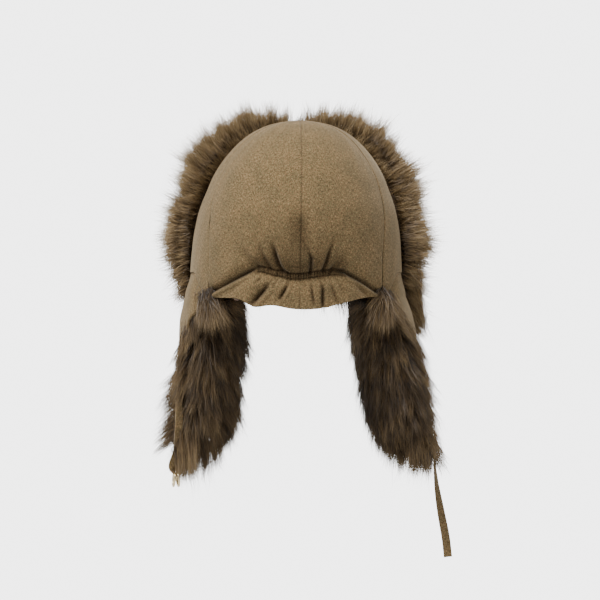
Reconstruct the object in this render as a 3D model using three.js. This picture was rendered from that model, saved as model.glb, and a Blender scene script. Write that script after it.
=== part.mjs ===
// Trapper hat with a gathered back, a turned-up front flap and two hanging ear flaps.
// Millimetres, +Z up. The face looks along -Y, the wearer's left is +X.
// The origin is the middle of the head opening at the rim.
import * as THREE from "three";

// Crown
const CROWN_HEIGHT = 165;
const CROWN_HALF_WIDTH = 99;
const CROWN_BACK_DEPTH = 111;
const CROWN_FRONT_DEPTH = 109;
const CROWN_LEAN = 4; // sideways lean of the peak against the rim
const PANEL_PUFF = 0.8; // how far a panel swells between its seams
const CENTRE_SEAM_ANGLE = -2.5; // degrees from the back axis towards the wearer's left
const SIDE_SEAM_ANGLE = 54; // at the rim
const SIDE_SEAM_SWING = 9; // added to it on the way up
const FRONT_SEAM_ANGLE = 126;
const LEVEL_HEIGHT = 62; // above this the rows of a panel run level

// Layers
const CLOTH = 1.6;
const LINING = 1.2;
const LAYER_GAP = 0.8; // between two layers of cloth
const SEAM_GAP = 0.3; // between two panels that are sewn edge to edge
const FUR_GAP = 1.2; // between a fur and the cloth that carries it
const LIP_GAP = 3.2; // between the edge of an ear flap and the fur that turns round it

// Gathered back
const GATHER_HEIGHT = 24; // highest point of the gathered line
const HEM_DROP = 12; // lowest point of the hem under the rim
const GATHER_PINCH = 6;
const GATHER_BAND = 7;
const RUFFLE_FLARE = 5;
const FOLD_WIDTH = 4;
const FOLD_DEPTH = 3;

// Front flap
const FLAP_HEIGHT = 152;
const FLAP_HALF_ANGLE = 78;
const FLAP_FOLD = 2; // how far its fold lies above the rim
const FLAP_FUR_DEPTH = 36;
const FLAP_FUR_RISE = 33;
const FLAP_FUR_DROP = 60;
const FLAP_FUR_END = 13; // degrees of fur past each end of the flap

// Ear flaps
const EAR_ROOT_HEIGHT = 22;
const EAR_LENGTH = 152;
const EAR_CORNER = 0.16; // share of the length that the bottom corners are rounded off
const EAR_FUR_DEPTH = 63;
const EAR_FUR_OVERHANG = 27;
const EAR_FUR_LIP = 16;
const EAR_FUR_TIP = 10; // fur below the flap's lower edge

// Locks of fur
const LOCK_DEPTH = 5;
const LOCK_TIP = 3.5;

// What hangs from the flaps
const STRAP_WIDTH = 6.6;
const STRAP_PLY = 1.5;
const LOOP_WIDTH = 11.8;
const LOOP_HEIGHT = 18;
const LOOP_TURN = 14;
const RING_DIAMETER = 15;
const RING_WIRE = 1.9;
const RING_GAP = 0.35;
const TIE_WIDTH = 8;
const TIE_THICKNESS = 1.8;

const DEGREE = Math.PI / 180;

// Crown from under the rim to the peak. Height is a share of CROWN_HEIGHT, the others of the half sizes.
const CROWN_SECTIONS = {
  columns: ["climb", "height", "width", "back", "front"],
  rows: [
    [0.0, -0.1, 0.995, 0.905, 0.965],
    [0.09, 0.0, 1.0, 0.93, 0.98],
    [0.18, 0.12, 1.0, 0.97, 1.0],
    [0.27, 0.24, 0.988, 0.99, 1.0],
    [0.36, 0.36, 0.969, 1.0, 0.985],
    [0.45, 0.48, 0.93, 0.985, 0.95],
    [0.54, 0.585, 0.868, 0.93, 0.89],
    [0.63, 0.695, 0.79, 0.845, 0.805],
    [0.72, 0.805, 0.667, 0.71, 0.68],
    [0.82, 0.9, 0.51, 0.535, 0.52],
    [0.9, 0.96, 0.338, 0.35, 0.34],
    [0.96, 0.99, 0.165, 0.17, 0.165],
    [1.0, 1.0, 0.0, 0.0, 0.0],
  ],
};

// Back edge, from the wearer's right to the left. Across is a share of CROWN_HALF_WIDTH,
// the gathered line of GATHER_HEIGHT and the hem of HEM_DROP.
const BACK_EDGE = {
  columns: ["across", "gather", "hem"],
  rows: [
    [-0.83, 0.04, -0.1],
    [-0.77, 0.1, -0.05],
    [-0.6, 0.54, -0.17],
    [-0.44, 0.85, -0.48],
    [-0.23, 0.77, -0.94],
    [0.0, 0.65, -1.0],
    [0.21, 0.81, -0.71],
    [0.375, 0.98, -0.77],
    [0.5, 0.75, -0.2],
    [0.7, 0.3, -0.14],
    [0.83, 0.04, -0.12],
  ],
};

// One row per fold of the gathered back: above the gathered line, then the pleats of the ruffle.
// Across is a share of CROWN_HALF_WIDTH, height of CROWN_HEIGHT, width and depth of the fold sizes.
const FOLDS = {
  columns: ["topAcross", "topHeight", "footAcross", "footHeight", "width", "depth"],
  rows: [
    [0.28, 0.37, 0.165, 0.11, 1.5, 1.2],
    [0.61, 0.34, 0.38, 0.15, 1.8, 0.45],
    [0.42, 0.3, 0.29, 0.15, 1.3, 0.5],
    [-0.03, 0.5, -0.03, 0.3, 3.4, 0.7],
    [-0.1, 0.28, -0.14, 0.12, 1.0, 1.0],
    [-0.36, 0.32, -0.26, 0.12, 1.1, 0.85],
    [-0.44, 0.24, -0.34, 0.12, 1.1, 0.45],
    [0.26, 0.085, 0.4, -0.04, 1.2, 1.3],
    [0.33, 0.1, 0.47, 0.0, 1.1, 0.5],
    [0.1, 0.075, 0.15, -0.04, 1.0, 0.9],
    [-0.14, 0.085, -0.175, -0.07, 0.8, 0.9],
    [-0.23, 0.085, -0.245, -0.06, 0.9, 1.2],
    [-0.31, 0.09, -0.38, -0.03, 1.2, 0.7],
  ],
};

// Upper edge of the front flap over its half angle, and its lean over its height
const FLAP_EDGE = {
  columns: ["turn", "height"],
  rows: [
    [0.0, 1.0],
    [0.4, 0.975],
    [0.6, 0.885],
    [0.8, 0.745],
    [0.93, 0.6],
    [1.0, 0.44],
  ],
};
const FLAP_LEAN = {
  columns: ["rise", "width", "depth"],
  rows: [
    [0.0, 0.98, 0.98],
    [0.39, 0.985, 1.01],
    [0.68, 0.94, 1.0],
    [1.0, 0.81, 0.93],
  ],
};

// Fur of the front flap over its half angle: shares of its depth, rise and drop
const FLAP_FUR = {
  columns: ["turn", "depth", "rise", "drop"],
  rows: [
    [0.0, 0.95, 0.75, 0.13],
    [0.25, 1.0, 0.85, 0.12],
    [0.45, 1.0, 1.0, 0.1],
    [0.65, 0.85, 1.0, 0.12],
    [0.78, 0.68, 0.9, 0.55],
    [0.88, 0.6, 0.7, 1.0],
    [1.0, 0.35, 0.3, 0.85],
  ],
};

// How far the edges of an ear flap draw in down its length, in degrees from the seams above them
const EAR_OUTLINE = {
  columns: ["drop", "rear", "front"],
  rows: [
    [0.0, 0, 0],
    [0.12, 4, 0],
    [0.25, 10, 1],
    [0.4, 13, 4],
    [0.6, 14, 9],
    [0.8, 16, 14],
    [0.92, 19, 18],
    [1.0, 25, 24],
  ],
};
const EAR_FLARE = {
  columns: ["drop", "share"],
  rows: [
    [0.0, 0.0],
    [0.2, 0.55],
    [0.4, 0.86],
    [0.6, 0.96],
    [0.8, 1.0],
    [1.1, 1.03],
  ],
};

// Fur of an ear flap down its length: shares of its depth, overhang and lip
const EAR_FUR = {
  columns: ["drop", "depth", "rear", "front", "lip"],
  rows: [
    [0.06, 0.55, -0.25, -0.2, 0.0],
    [0.12, 0.74, 0.05, -0.1, 0.0],
    [0.22, 0.88, 0.6, 0.3, 0.15],
    [0.35, 0.97, 0.95, 0.7, 0.4],
    [0.55, 1.0, 1.0, 0.9, 0.9],
    [0.75, 0.96, 1.0, 1.0, 1.0],
    [0.9, 0.8, 0.85, 0.9, 0.9],
    [1.0, 0.56, 0.6, 0.6, 0.5],
    [1.06, 0.34, 0.1, 0.1, 0.0],
    [1.1, 0.12, -0.5, -0.5, 0.0],
  ],
};

// The two ear flaps hang alike, but the wearer's right one is splayed outwards and shows more fur behind
const LEFT = { sign: 1, flare: 14.5, splay: 0, rearLip: 0.15, frontLip: 1.3 };
const RIGHT = { sign: -1, flare: 17, splay: 11, rearLip: 0.9, frontLip: 0.5 };

// Route of the free tie, from the outside of the right ear flap to its bare end
const TIE_ROUTE = [
  [-128.6, -9, -138],
  [-128.6, -9, -146],
  [-129.0, -9, -157],
  [-129.9, -8, -168],
  [-131.4, -7, -182],
  [-135.0, -5, -204],
  [-139.2, -3, -227],
  [-141.4, -2, -246],
];

const clamp = (value, low, high) => Math.min(high, Math.max(low, value));
const mix = (from, to, share) => from + (to - from) * share;

function ramp(from, to, value) {
  const share = clamp((value - from) / (to - from), 0, 1);
  return share * share * (3 - 2 * share);
}

// Reads a column of a table at a value of its first column, along a smooth curve through the rows.
function read(table, column, key) {
  const rows = table.rows;
  const c = table.columns.indexOf(column);
  const at = clamp(key, rows[0][0], rows[rows.length - 1][0]);
  let i = 0;
  while (i < rows.length - 2 && at > rows[i + 1][0]) i += 1;
  const slope = (k) => {
    const a = rows[Math.max(k - 1, 0)];
    const b = rows[Math.min(k + 1, rows.length - 1)];
    return (b[c] - a[c]) / (b[0] - a[0]);
  };
  const step = rows[i + 1][0] - rows[i][0];
  const t = (at - rows[i][0]) / step;
  const a = rows[i][c];
  const b = rows[i + 1][c];
  const ease = t * t * (3 - 2 * t);
  const lift = t * (1 - t) * step * (slope(i) * (1 - t) - slope(i + 1) * t);
  return mix(a, b, ease) + lift;
}

// Crown surface
function climbAt(height) {
  let low = 0;
  let high = 1;
  for (let step = 0; step < 30; step += 1) {
    const middle = (low + high) / 2;
    if (read(CROWN_SECTIONS, "height", middle) * CROWN_HEIGHT < height) low = middle;
    else high = middle;
  }
  return (low + high) / 2;
}

const centreX = (height) => CROWN_LEAN * (0.6 - clamp(height / CROWN_HEIGHT, 0, 1));

function crownReach(climb, angle) {
  const behind = Math.cos(angle) > 0;
  return {
    width: read(CROWN_SECTIONS, "width", climb) * CROWN_HALF_WIDTH,
    depth: behind
      ? read(CROWN_SECTIONS, "back", climb) * CROWN_BACK_DEPTH
      : read(CROWN_SECTIONS, "front", climb) * CROWN_FRONT_DEPTH,
  };
}

function crownBase(angle, climb) {
  const height = read(CROWN_SECTIONS, "height", climb) * CROWN_HEIGHT;
  const reach = crownReach(climb, angle);
  const x = centreX(height) + reach.width * Math.sin(angle);
  return new THREE.Vector3(x, reach.depth * Math.cos(angle), height);
}

function crownPoint(angle, climb, out) {
  const d = 0.004;
  const low = Math.max(climb - d, 0);
  const high = Math.min(climb + d, 0.999);
  const around = crownBase(angle + d, climb).sub(crownBase(angle - d, climb));
  const up = crownBase(angle, high).sub(crownBase(angle, low));
  const normal = up.cross(around).normalize();
  if (normal.dot(new THREE.Vector3(Math.sin(angle), Math.cos(angle), 0.2)) < 0) normal.negate();
  return crownBase(angle, climb).addScaledVector(normal, out);
}

// Gathers: the pinch along the gathered line and the flare of the ruffle below it
function gatherHeight(angle) {
  return read(BACK_EDGE, "gather", Math.sin(angle)) * GATHER_HEIGHT;
}

function hemHeight(angle) {
  return read(BACK_EDGE, "hem", Math.sin(angle)) * HEM_DROP;
}

function gatherRelief(angle, height) {
  const away = height - gatherHeight(angle);
  const hold = 1 - 0.75 * ramp(0.4, 0.8, Math.abs(Math.sin(angle)));
  const pinch = -GATHER_PINCH * Math.exp(-((away / GATHER_BAND) ** 2));
  const flare = away < 0 ? RUFFLE_FLARE * clamp(-away / (GATHER_HEIGHT + HEM_DROP), 0, 1) : 0;
  return hold * (pinch + flare);
}

function foldRelief(x, z) {
  let relief = 0;
  for (const row of FOLDS.rows) {
    const [topAcross, topHeight, footAcross, footHeight, width, depth] = row;
    const top = new THREE.Vector2(topAcross * CROWN_HALF_WIDTH, topHeight * CROWN_HEIGHT);
    const foot = new THREE.Vector2(footAcross * CROWN_HALF_WIDTH, footHeight * CROWN_HEIGHT);
    const run = foot.clone().sub(top);
    const point = new THREE.Vector2(x, z).sub(top);
    const along = clamp(point.dot(run) / run.lengthSq(), 0, 1);
    const away = point.distanceTo(run.multiplyScalar(along)) / (width * FOLD_WIDTH);
    relief -= depth * FOLD_DEPTH * (0.25 + 0.75 * along) * Math.exp(-away * away);
  }
  return relief;
}

// Solids
function solid(name, positions, faces, material) {
  const volume = faces.reduce((sum, [a, b, c]) => {
    return sum + positions[a].dot(positions[b].clone().cross(positions[c]));
  }, 0);
  const indices = volume > 0 ? faces.flat() : faces.flatMap(([a, b, c]) => [a, c, b]);
  const geometry = new THREE.BufferGeometry();
  geometry.setAttribute("position", new THREE.Float32BufferAttribute(positions.flatMap((p) => p.toArray()), 3));
  geometry.setIndex(indices);
  geometry.computeVertexNormals();
  const mesh = new THREE.Mesh(geometry, material);
  mesh.name = name;
  return mesh;
}

// A cloth wall from rows of points on its outer side and the same rows on its inner side.
// A wall that goes all the way round has no side edges, and may end in a peak.
function wall(name, outer, inner, material, round = false) {
  const positions = [...outer.flat(), ...inner.flat()];
  const rows = outer.length;
  const columns = outer[0].length;
  const inside = rows * columns;
  const faces = [];
  const quad = (a, b, c, d) => faces.push([a, b, c], [a, c, d]);
  const spans = round ? columns : columns - 1;
  for (let r = 0; r < rows - 1; r += 1) {
    for (let k = 0; k < spans; k += 1) {
      const a = r * columns + k;
      const b = r * columns + ((k + 1) % columns);
      quad(a, b, b + columns, a + columns);
      quad(inside + b, inside + a, inside + a + columns, inside + b + columns);
    }
  }
  for (let k = 0; k < spans; k += 1) {
    const next = (k + 1) % columns;
    quad(next, k, inside + k, inside + next);
    const last = (rows - 1) * columns;
    if (!round) quad(last + k, last + next, inside + last + next, inside + last + k);
  }
  if (round) {
    const last = (rows - 1) * columns;
    const middle = (points) => {
      return points.reduce((sum, p) => sum.add(p), new THREE.Vector3()).divideScalar(points.length);
    };
    positions.push(middle(outer[rows - 1]), middle(inner[rows - 1]));
    const peak = positions.length - 2;
    for (let k = 0; k < columns; k += 1) {
      const next = (k + 1) % columns;
      faces.push([last + k, last + next, peak]);
      faces.push([inside + last + next, inside + last + k, peak + 1]);
    }
    return solid(name, positions, faces, material);
  }
  for (let r = 0; r < rows - 1; r += 1) {
    const left = r * columns;
    const right = left + columns - 1;
    quad(left, left + columns, inside + left + columns, inside + left);
    quad(right + columns, right, inside + right, inside + right + columns);
  }
  return solid(name, positions, faces, material);
}

// A closed body through a row of loops with the same number of points
function loft(name, loops, material) {
  const count = loops[0].length;
  const positions = loops.flat();
  const faces = [];
  for (let r = 0; r < loops.length - 1; r += 1) {
    for (let k = 0; k < count; k += 1) {
      const a = r * count + k;
      const b = r * count + ((k + 1) % count);
      faces.push([a, b, b + count], [a, b + count, a + count]);
    }
  }
  for (const end of [0, loops.length - 1]) {
    const middle = loops[end].reduce((sum, p) => sum.add(p), new THREE.Vector3()).divideScalar(count);
    positions.push(middle);
    for (let k = 0; k < count; k += 1) {
      const a = end * count + k;
      const b = end * count + ((k + 1) % count);
      faces.push(end === 0 ? [b, a, positions.length - 1] : [a, b, positions.length - 1]);
    }
  }
  return solid(name, positions, faces, material);
}

const wool = new THREE.MeshStandardMaterial({ name: "wool", color: 0x86724f, roughness: 0.95 });
const satin = new THREE.MeshStandardMaterial({ name: "satin", color: 0x8a705c, roughness: 0.5 });
const fur = new THREE.MeshStandardMaterial({ name: "fur", color: 0x43382b, roughness: 0.9 });
const gold = new THREE.MeshStandardMaterial({ name: "gold", color: 0xd9c08c, roughness: 0.3, metalness: 1 });

// Crown panels
const seamSwing = (climb) => SIDE_SEAM_SWING * ramp(climbAt(GATHER_HEIGHT), 0.6, climb);

// Height of the lower edge of the crown where the ear flaps are sewn on
function rimHeight(angle) {
  const turn = Math.abs(angle) / DEGREE;
  const rear = ramp(SIDE_SEAM_ANGLE, SIDE_SEAM_ANGLE + 20, turn);
  const front = 1 - ramp(FRONT_SEAM_ANGLE - 18, FRONT_SEAM_ANGLE, turn);
  return EAR_ROOT_HEIGHT * rear * front;
}

const TOP_CLIMB = 0.994;
const steps = (count) => Array.from({ length: count + 1 }, (unused, i) => i / count);

// Rows of a panel: from its lower edge to LEVEL_HEIGHT, then level rows to the peak
function panelRows(lowShares, highCount) {
  const low = lowShares.map((share) => ({ share }));
  const from = climbAt(LEVEL_HEIGHT);
  const high = steps(highCount).slice(1).map((share) => ({ climb: mix(from, TOP_CLIMB, share) }));
  return [...low, ...high];
}

function panel(name, seams, columns, rows, lowEdge, relief) {
  const sides = [CLOTH, 0].map((inset) => rows.map((row) => steps(columns).map((across) => {
    const guess = row.climb ?? climbAt(LEVEL_HEIGHT * (row.share ?? 0));
    const radius = Math.max(crownReach(guess, 0).width, SEAM_GAP * 4);
    const gap = SEAM_GAP / 2 / radius;
    const [from, to] = seams.map((seam) => seam(guess));
    const angle = mix(from + gap, to - gap, across);
    const height = row.climb === undefined ? lowEdge(angle, row.share) : undefined;
    const climb = row.climb ?? climbAt(height);
    const base = crownBase(angle, climb);
    const puff = PANEL_PUFF * Math.sin(Math.PI * across) * Math.min(1, radius / 40);
    return crownPoint(angle, climb, puff + relief(angle, base) - inset);
  })));
  return wall(name, sides[1], sides[0], wool);
}

// The back panels have rows for the ruffle first, as shares below 0
function backEdge(angle, share) {
  const gather = gatherHeight(angle);
  if (share < 0) return mix(gather, hemHeight(angle), -share);
  return mix(gather, LEVEL_HEIGHT, share);
}

const sideEdge = (angle, share) => mix(rimHeight(angle), LEVEL_HEIGHT, share);
const backRelief = (angle, base) => gatherRelief(angle, base.z) + foldRelief(base.x, base.z);
const noRelief = () => 0;

const centreSeam = () => CENTRE_SEAM_ANGLE * DEGREE;
const sideSeam = (climb) => (SIDE_SEAM_ANGLE + seamSwing(climb)) * DEGREE;
const frontSeam = () => FRONT_SEAM_ANGLE * DEGREE;
const faceSeam = () => Math.PI;
const mirrored = (seam) => (climb) => -seam(climb);

const BACK_ROWS = panelRows([-1, -0.66, -0.33, -0.12, 0, 0.14, 0.3, 0.5, 0.75, 1], 7);
const SIDE_ROWS = panelRows([0, 0.5, 1], 7);
const hat = new THREE.Group();
hat.add(panel("crown_back_left", [centreSeam, sideSeam], 14, BACK_ROWS, backEdge, backRelief));
hat.add(panel("crown_back_right", [mirrored(sideSeam), centreSeam], 14, BACK_ROWS, backEdge, backRelief));
hat.add(panel("crown_side_left", [sideSeam, frontSeam], 8, SIDE_ROWS, sideEdge, noRelief));
hat.add(panel("crown_side_right", [mirrored(frontSeam), mirrored(sideSeam)], 8, SIDE_ROWS, sideEdge, noRelief));
hat.add(panel("crown_front_left", [frontSeam, faceSeam], 6, SIDE_ROWS, sideEdge, noRelief));
hat.add(panel("crown_front_right", [mirrored(faceSeam), mirrored(frontSeam)], 6, SIDE_ROWS, sideEdge, noRelief));

// Lining: follows the crown inside, with room for the folds of the back
function liningEdge(angle) {
  const turn = Math.abs(angle) / DEGREE;
  const behind = 1 - ramp(SIDE_SEAM_ANGLE - 14, SIDE_SEAM_ANGLE - 4, turn);
  return mix(rimHeight(angle) + CLOTH, -HEM_DROP * 0.46, behind);
}

function liningPoint(angle, share, climb, inset) {
  const height = climb === undefined ? mix(liningEdge(angle), LEVEL_HEIGHT, share) : undefined;
  const at = climb ?? climbAt(height);
  const turn = Math.abs(angle) / DEGREE;
  const behind = 1 - ramp(SIDE_SEAM_ANGLE - 8, SIDE_SEAM_ANGLE + 12, turn);
  const base = crownBase(angle, at);
  const low = 1 - ramp(LEVEL_HEIGHT, LEVEL_HEIGHT * 1.7, base.z);
  const room = behind * low * FOLD_DEPTH * 1.8;
  const pull = behind * gatherRelief(angle, base.z);
  const peak = LAYER_GAP * ramp(0.7, 0.95, at);
  return crownPoint(angle, at, Math.min(pull, 0) - CLOTH - LAYER_GAP - peak - room - inset);
}

const LINING_COLUMNS = 30;
const liningAngles = steps(LINING_COLUMNS).slice(0, -1).map((share) => (share * 2 - 1) * Math.PI);
const liningRows = [
  ...[0, 0.14, 0.32, 0.6, 1].map((share) => ({ share })),
  ...steps(5).slice(1).map((share) => ({ climb: mix(climbAt(LEVEL_HEIGHT), 0.975, share) })),
];
const liningSide = (inset) => liningRows.map((row) => {
  return liningAngles.map((angle) => liningPoint(angle, row.share, row.climb, inset));
});
hat.add(wall("lining", liningSide(0), liningSide(LINING), satin, true));

// Ear flaps
const earDrop = (height) => clamp(-height / EAR_LENGTH, 0, 1.1);

function earFlare(side, height) {
  const drop = earDrop(height);
  return side.flare * read(EAR_FLARE, "share", drop) + side.splay * drop;
}

// Point on an ear flap: across from its rear edge (0) to its front edge (1), down from its root (0)
// to its lower edge (1), and out from its outer face. Past is a distance beyond the nearer edge.
function earPoint(side, across, drop, out, past = 0) {
  const seam = SEAM_GAP / 2 / CROWN_HALF_WIDTH / DEGREE;
  const rear = SIDE_SEAM_ANGLE + read(EAR_OUTLINE, "rear", drop) + seam;
  const front = FRONT_SEAM_ANGLE - read(EAR_OUTLINE, "front", drop) - seam;
  const away = past / CROWN_HALF_WIDTH / DEGREE;
  const turn = mix(rear, front, across) + (across < 0.5 ? -away : away);
  const angle = turn * DEGREE;
  const corner = EAR_CORNER * Math.abs(2 * across - 1) ** 3;
  const height = mix(rimHeight(angle) - SEAM_GAP, -EAR_LENGTH * (1 - corner), drop);
  const climb = climbAt(Math.max(height, -HEM_DROP));
  const reach = crownReach(climb, angle);
  const flare = earFlare(side, height);
  const x = (reach.width + flare + out) * Math.sin(angle);
  const y = (reach.depth + 0.5 * flare + out) * Math.cos(angle);
  return new THREE.Vector3(centreX(height) + side.sign * x, y, height);
}

const EAR_ROWS = [0, 0.1, 0.2, 0.3, 0.42, 0.56, 0.7, 0.8, 0.87, 0.94, 1];
const EAR_COLUMNS = 8;
const earSide = (side, out) => EAR_ROWS.map((drop) => {
  return steps(EAR_COLUMNS).map((across) => earPoint(side, across, drop, out));
});

// Rise of the locks over the fur: rows of pointed locks, each row set half a lock against the next
const LOCK_SPAN = 3;
const LOCK_RUN = 4;

function lock(around, along) {
  const tier = Math.floor(along / LOCK_RUN);
  const run = (along % LOCK_RUN) / (LOCK_RUN - 1);
  const place = (around + (tier % 2) * 1 + LOCK_SPAN * 10) % LOCK_SPAN;
  const ridge = place === 1 ? 1 : 0.2;
  const uneven = 0.75 + 0.25 * Math.sin(around * 2.3 + tier * 4.1);
  return run * ridge * uneven;
}

// Fur of an ear flap: loops down the flap. Each follows the inside of the flap with a gap,
// turns round its rear edge, bulges towards the head and comes back round the front edge.
function earFurLoop(side, drop, level) {
  const depth = read(EAR_FUR, "depth", drop) * EAR_FUR_DEPTH;
  const lip = read(EAR_FUR, "lip", drop) * EAR_FUR_LIP;
  const bed = -CLOTH - FUR_GAP - (LOOP_WIDTH / 2) * ramp(1, 1.04, drop);
  const rearOut = Math.max(lip * side.rearLip, bed + 0.3);
  const frontOut = Math.max(lip * side.frontLip, bed + 0.3);
  const rearPast = read(EAR_FUR, "rear", drop) * EAR_FUR_OVERHANG;
  const frontPast = read(EAR_FUR, "front", drop) * EAR_FUR_OVERHANG;
  const at = (across, out, past) => earPoint(side, across, drop, out, past);
  const inwards = (across, share) => {
    const point = at(across, bed, 0);
    point.x -= side.sign * depth * share;
    return point;
  };
  const reach = (past) => Math.max(past, LIP_GAP + 0.6);
  const outline = new THREE.CatmullRomCurve3([
    at(0, rearOut, LIP_GAP),
    at(0, rearOut * 0.9, reach(rearPast * 0.6)),
    at(0, -depth * 0.25 + bed, Math.max(rearPast, -depth * 0.1)),
    inwards(0.12, 0.72),
    inwards(0.32, 0.95),
    inwards(0.55, 1),
    inwards(0.78, 0.9),
    at(1, -depth * 0.45 + bed, Math.max(frontPast, -depth * 0.1)),
    at(1, frontOut * 0.9, reach(frontPast * 0.6)),
    at(1, frontOut, LIP_GAP),
  ], false, "centripetal");
  const count = 18;
  const free = steps(count).map((share) => outline.getPoint(share));
  const rows = free.map((point, i) => {
    if (i < 2 || i > count - 2) return point;
    const run = free[i + 1].clone().sub(free[i - 1]);
    const outwards = new THREE.Vector3(run.y, -run.x, 0).normalize().multiplyScalar(-side.sign);
    const rise = lock(i, level);
    return point.clone().addScaledVector(outwards, rise * LOCK_DEPTH).setZ(point.z - rise * LOCK_TIP);
  });
  return [at(0, bed, LIP_GAP), ...rows, at(1, bed, LIP_GAP), at(0.75, bed, 0), at(0.5, bed, 0), at(0.25, bed, 0)];
}

function earFur(name, side) {
  const tiers = 8;
  const loops = [];
  for (let level = 0; level < tiers * LOCK_RUN; level += 1) {
    const tier = Math.floor(level / LOCK_RUN);
    const run = (level % LOCK_RUN) / (LOCK_RUN - 0.6);
    const drop = mix(0.06, 1 + EAR_FUR_TIP / EAR_LENGTH, (tier + run) / (tiers - 0.12));
    loops.push(earFurLoop(side, drop, level));
  }
  return loft(name, loops, fur);
}

for (const [word, side] of [["left", LEFT], ["right", RIGHT]]) {
  hat.add(wall(`ear_flap_${word}`, earSide(side, 0), earSide(side, -CLOTH), wool));
  hat.add(earFur(`ear_fur_${word}`, side));
}

// Front flap
function flapPoint(angle, height, out) {
  const climb = climbAt(clamp(height, -HEM_DROP, CROWN_HEIGHT));
  const reach = crownReach(climb, angle);
  const rise = height / FLAP_HEIGHT;
  const side = Math.sin(angle) > 0 ? LEFT : RIGHT;
  const flare = earFlare(side, height);
  const width = Math.max(reach.width, read(FLAP_LEAN, "width", rise) * CROWN_HALF_WIDTH);
  const depth = Math.max(reach.depth, read(FLAP_LEAN, "depth", rise) * CROWN_FRONT_DEPTH);
  const x = centreX(height) + (width + flare + out) * Math.sin(angle);
  return new THREE.Vector3(x, (depth + 0.5 * flare + out) * Math.cos(angle), height);
}

const flapInside = PANEL_PUFF + LAYER_GAP;
const flapTop = (turn) => read(FLAP_EDGE, "height", Math.abs(turn) / FLAP_HALF_ANGLE) * FLAP_HEIGHT;
const flapFoot = (turn) => rimHeight(Math.PI - Math.abs(turn) * DEGREE) + FLAP_FOLD;
const FLAP_ROWS = 6;
const flapSide = (out) => steps(FLAP_ROWS).map((rise) => steps(24).map((share) => {
  const turn = mix(-FLAP_HALF_ANGLE, FLAP_HALF_ANGLE, share);
  return flapPoint(Math.PI + turn * DEGREE, mix(flapFoot(turn), flapTop(turn), rise), out);
}));
hat.add(wall("front_flap", flapSide(flapInside + CLOTH), flapSide(flapInside), wool));

// Fur of the front flap: loops from one end to the other, flat on the flap and bulging forwards
function flapFurLoop(turn, level) {
  const whole = FLAP_HALF_ANGLE + FLAP_FUR_END;
  const share = Math.abs(turn) / whole;
  const end = Math.sqrt(1 - (0.97 * ramp(FLAP_HALF_ANGLE / whole, 1, share)) ** 2);
  const depth = read(FLAP_FUR, "depth", share) * FLAP_FUR_DEPTH * mix(0.4, 1, end);
  const rise = read(FLAP_FUR, "rise", share) * FLAP_FUR_RISE * end;
  const drop = read(FLAP_FUR, "drop", share) * FLAP_FUR_DROP;
  const top = flapTop(turn) * mix(0.75, 1, end);
  const foot = flapFoot(Math.sign(turn) * Math.min(Math.abs(turn), FLAP_HALF_ANGLE));
  const bottom = foot - drop * end;
  const lean = 9 * ramp(CROWN_HEIGHT * 0.66, FLAP_HEIGHT, top);
  const angle = Math.PI + turn * DEGREE;
  const face = flapInside + CLOTH + FUR_GAP;
  const at = (out, height) => flapPoint(angle, height, face + out);
  const outline = new THREE.CatmullRomCurve3([
    at(0, top + FUR_GAP * 2),
    at(-lean, top + FUR_GAP * 2 + rise * 0.4),
    at(depth * 0.1 - lean * 0.5, top + rise * 0.9),
    at(depth * 0.35, top + rise),
    at(depth * 0.7, top + rise * 0.6),
    at(depth * 0.95, mix(foot, top, 0.82)),
    at(depth, mix(foot, top, 0.5)),
    at(depth * 0.92, mix(foot, top, 0.2)),
    at(depth * 0.7, mix(bottom, foot, 0.45)),
    at(depth * 0.3, bottom),
    at(0, mix(bottom, foot, 0.3)),
  ], false, "centripetal");
  const count = 18;
  const free = steps(count).map((s) => outline.getPoint(s));
  const rows = free.map((point, i) => {
    if (i < 2 || i > count - 3) return point;
    const outwards = new THREE.Vector3(Math.sin(angle), Math.cos(angle), 0.25).normalize();
    const ridge = lock(level, count - i);
    const grown = point.clone().addScaledVector(outwards, ridge * LOCK_DEPTH * mix(0.3, 1, end));
    grown.z += ridge * LOCK_TIP;
    return grown;
  });
  const bed = steps(FLAP_ROWS).map((s) => at(0, mix(foot, top, s)));
  return [...rows, ...bed];
}

const FUR_TURNS = 42;
const flapFurLoops = steps(FUR_TURNS).map((share, level) => {
  const reach = FLAP_HALF_ANGLE + FLAP_FUR_END;
  return flapFurLoop(mix(-reach, reach, share), level);
});
hat.add(loft("front_flap_fur", flapFurLoops, fur));

// Strap loop under the left ear flap: a strap end folded back on itself, open for the rings
function teardrop(width, height, top) {
  const outline = new THREE.Shape();
  const half = width / 2;
  outline.moveTo(0, top);
  outline.bezierCurveTo(half * 0.4, top - height * 0.2, half, top - height * 0.4, half, top - height + half);
  outline.absarc(0, top - height + half, half, 0, -Math.PI, true);
  outline.bezierCurveTo(-half, top - height * 0.4, -half * 0.4, top - height * 0.2, 0, top);
  return outline;
}

const loopHead = earPoint(LEFT, 0.36, 1, -CLOTH / 2);
loopHead.z -= SEAM_GAP;
const loopShape = teardrop(LOOP_WIDTH, LOOP_HEIGHT, 0);
loopShape.holes.push(new THREE.Path(
  teardrop(LOOP_WIDTH - 2 * STRAP_PLY, LOOP_HEIGHT - 4 * STRAP_PLY, -3 * STRAP_PLY).getPoints(4).reverse(),
));
const loopGeometry = new THREE.ExtrudeGeometry(loopShape, { depth: STRAP_WIDTH, bevelEnabled: false, curveSegments: 4 });
loopGeometry.translate(0, 0, -STRAP_WIDTH / 2);
loopGeometry.rotateX(Math.PI / 2);
loopGeometry.rotateZ(LOOP_TURN * DEGREE);
const strapLoop = new THREE.Mesh(loopGeometry, wool);
strapLoop.name = "strap_loop";
strapLoop.position.copy(loopHead);
hat.add(strapLoop);

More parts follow.
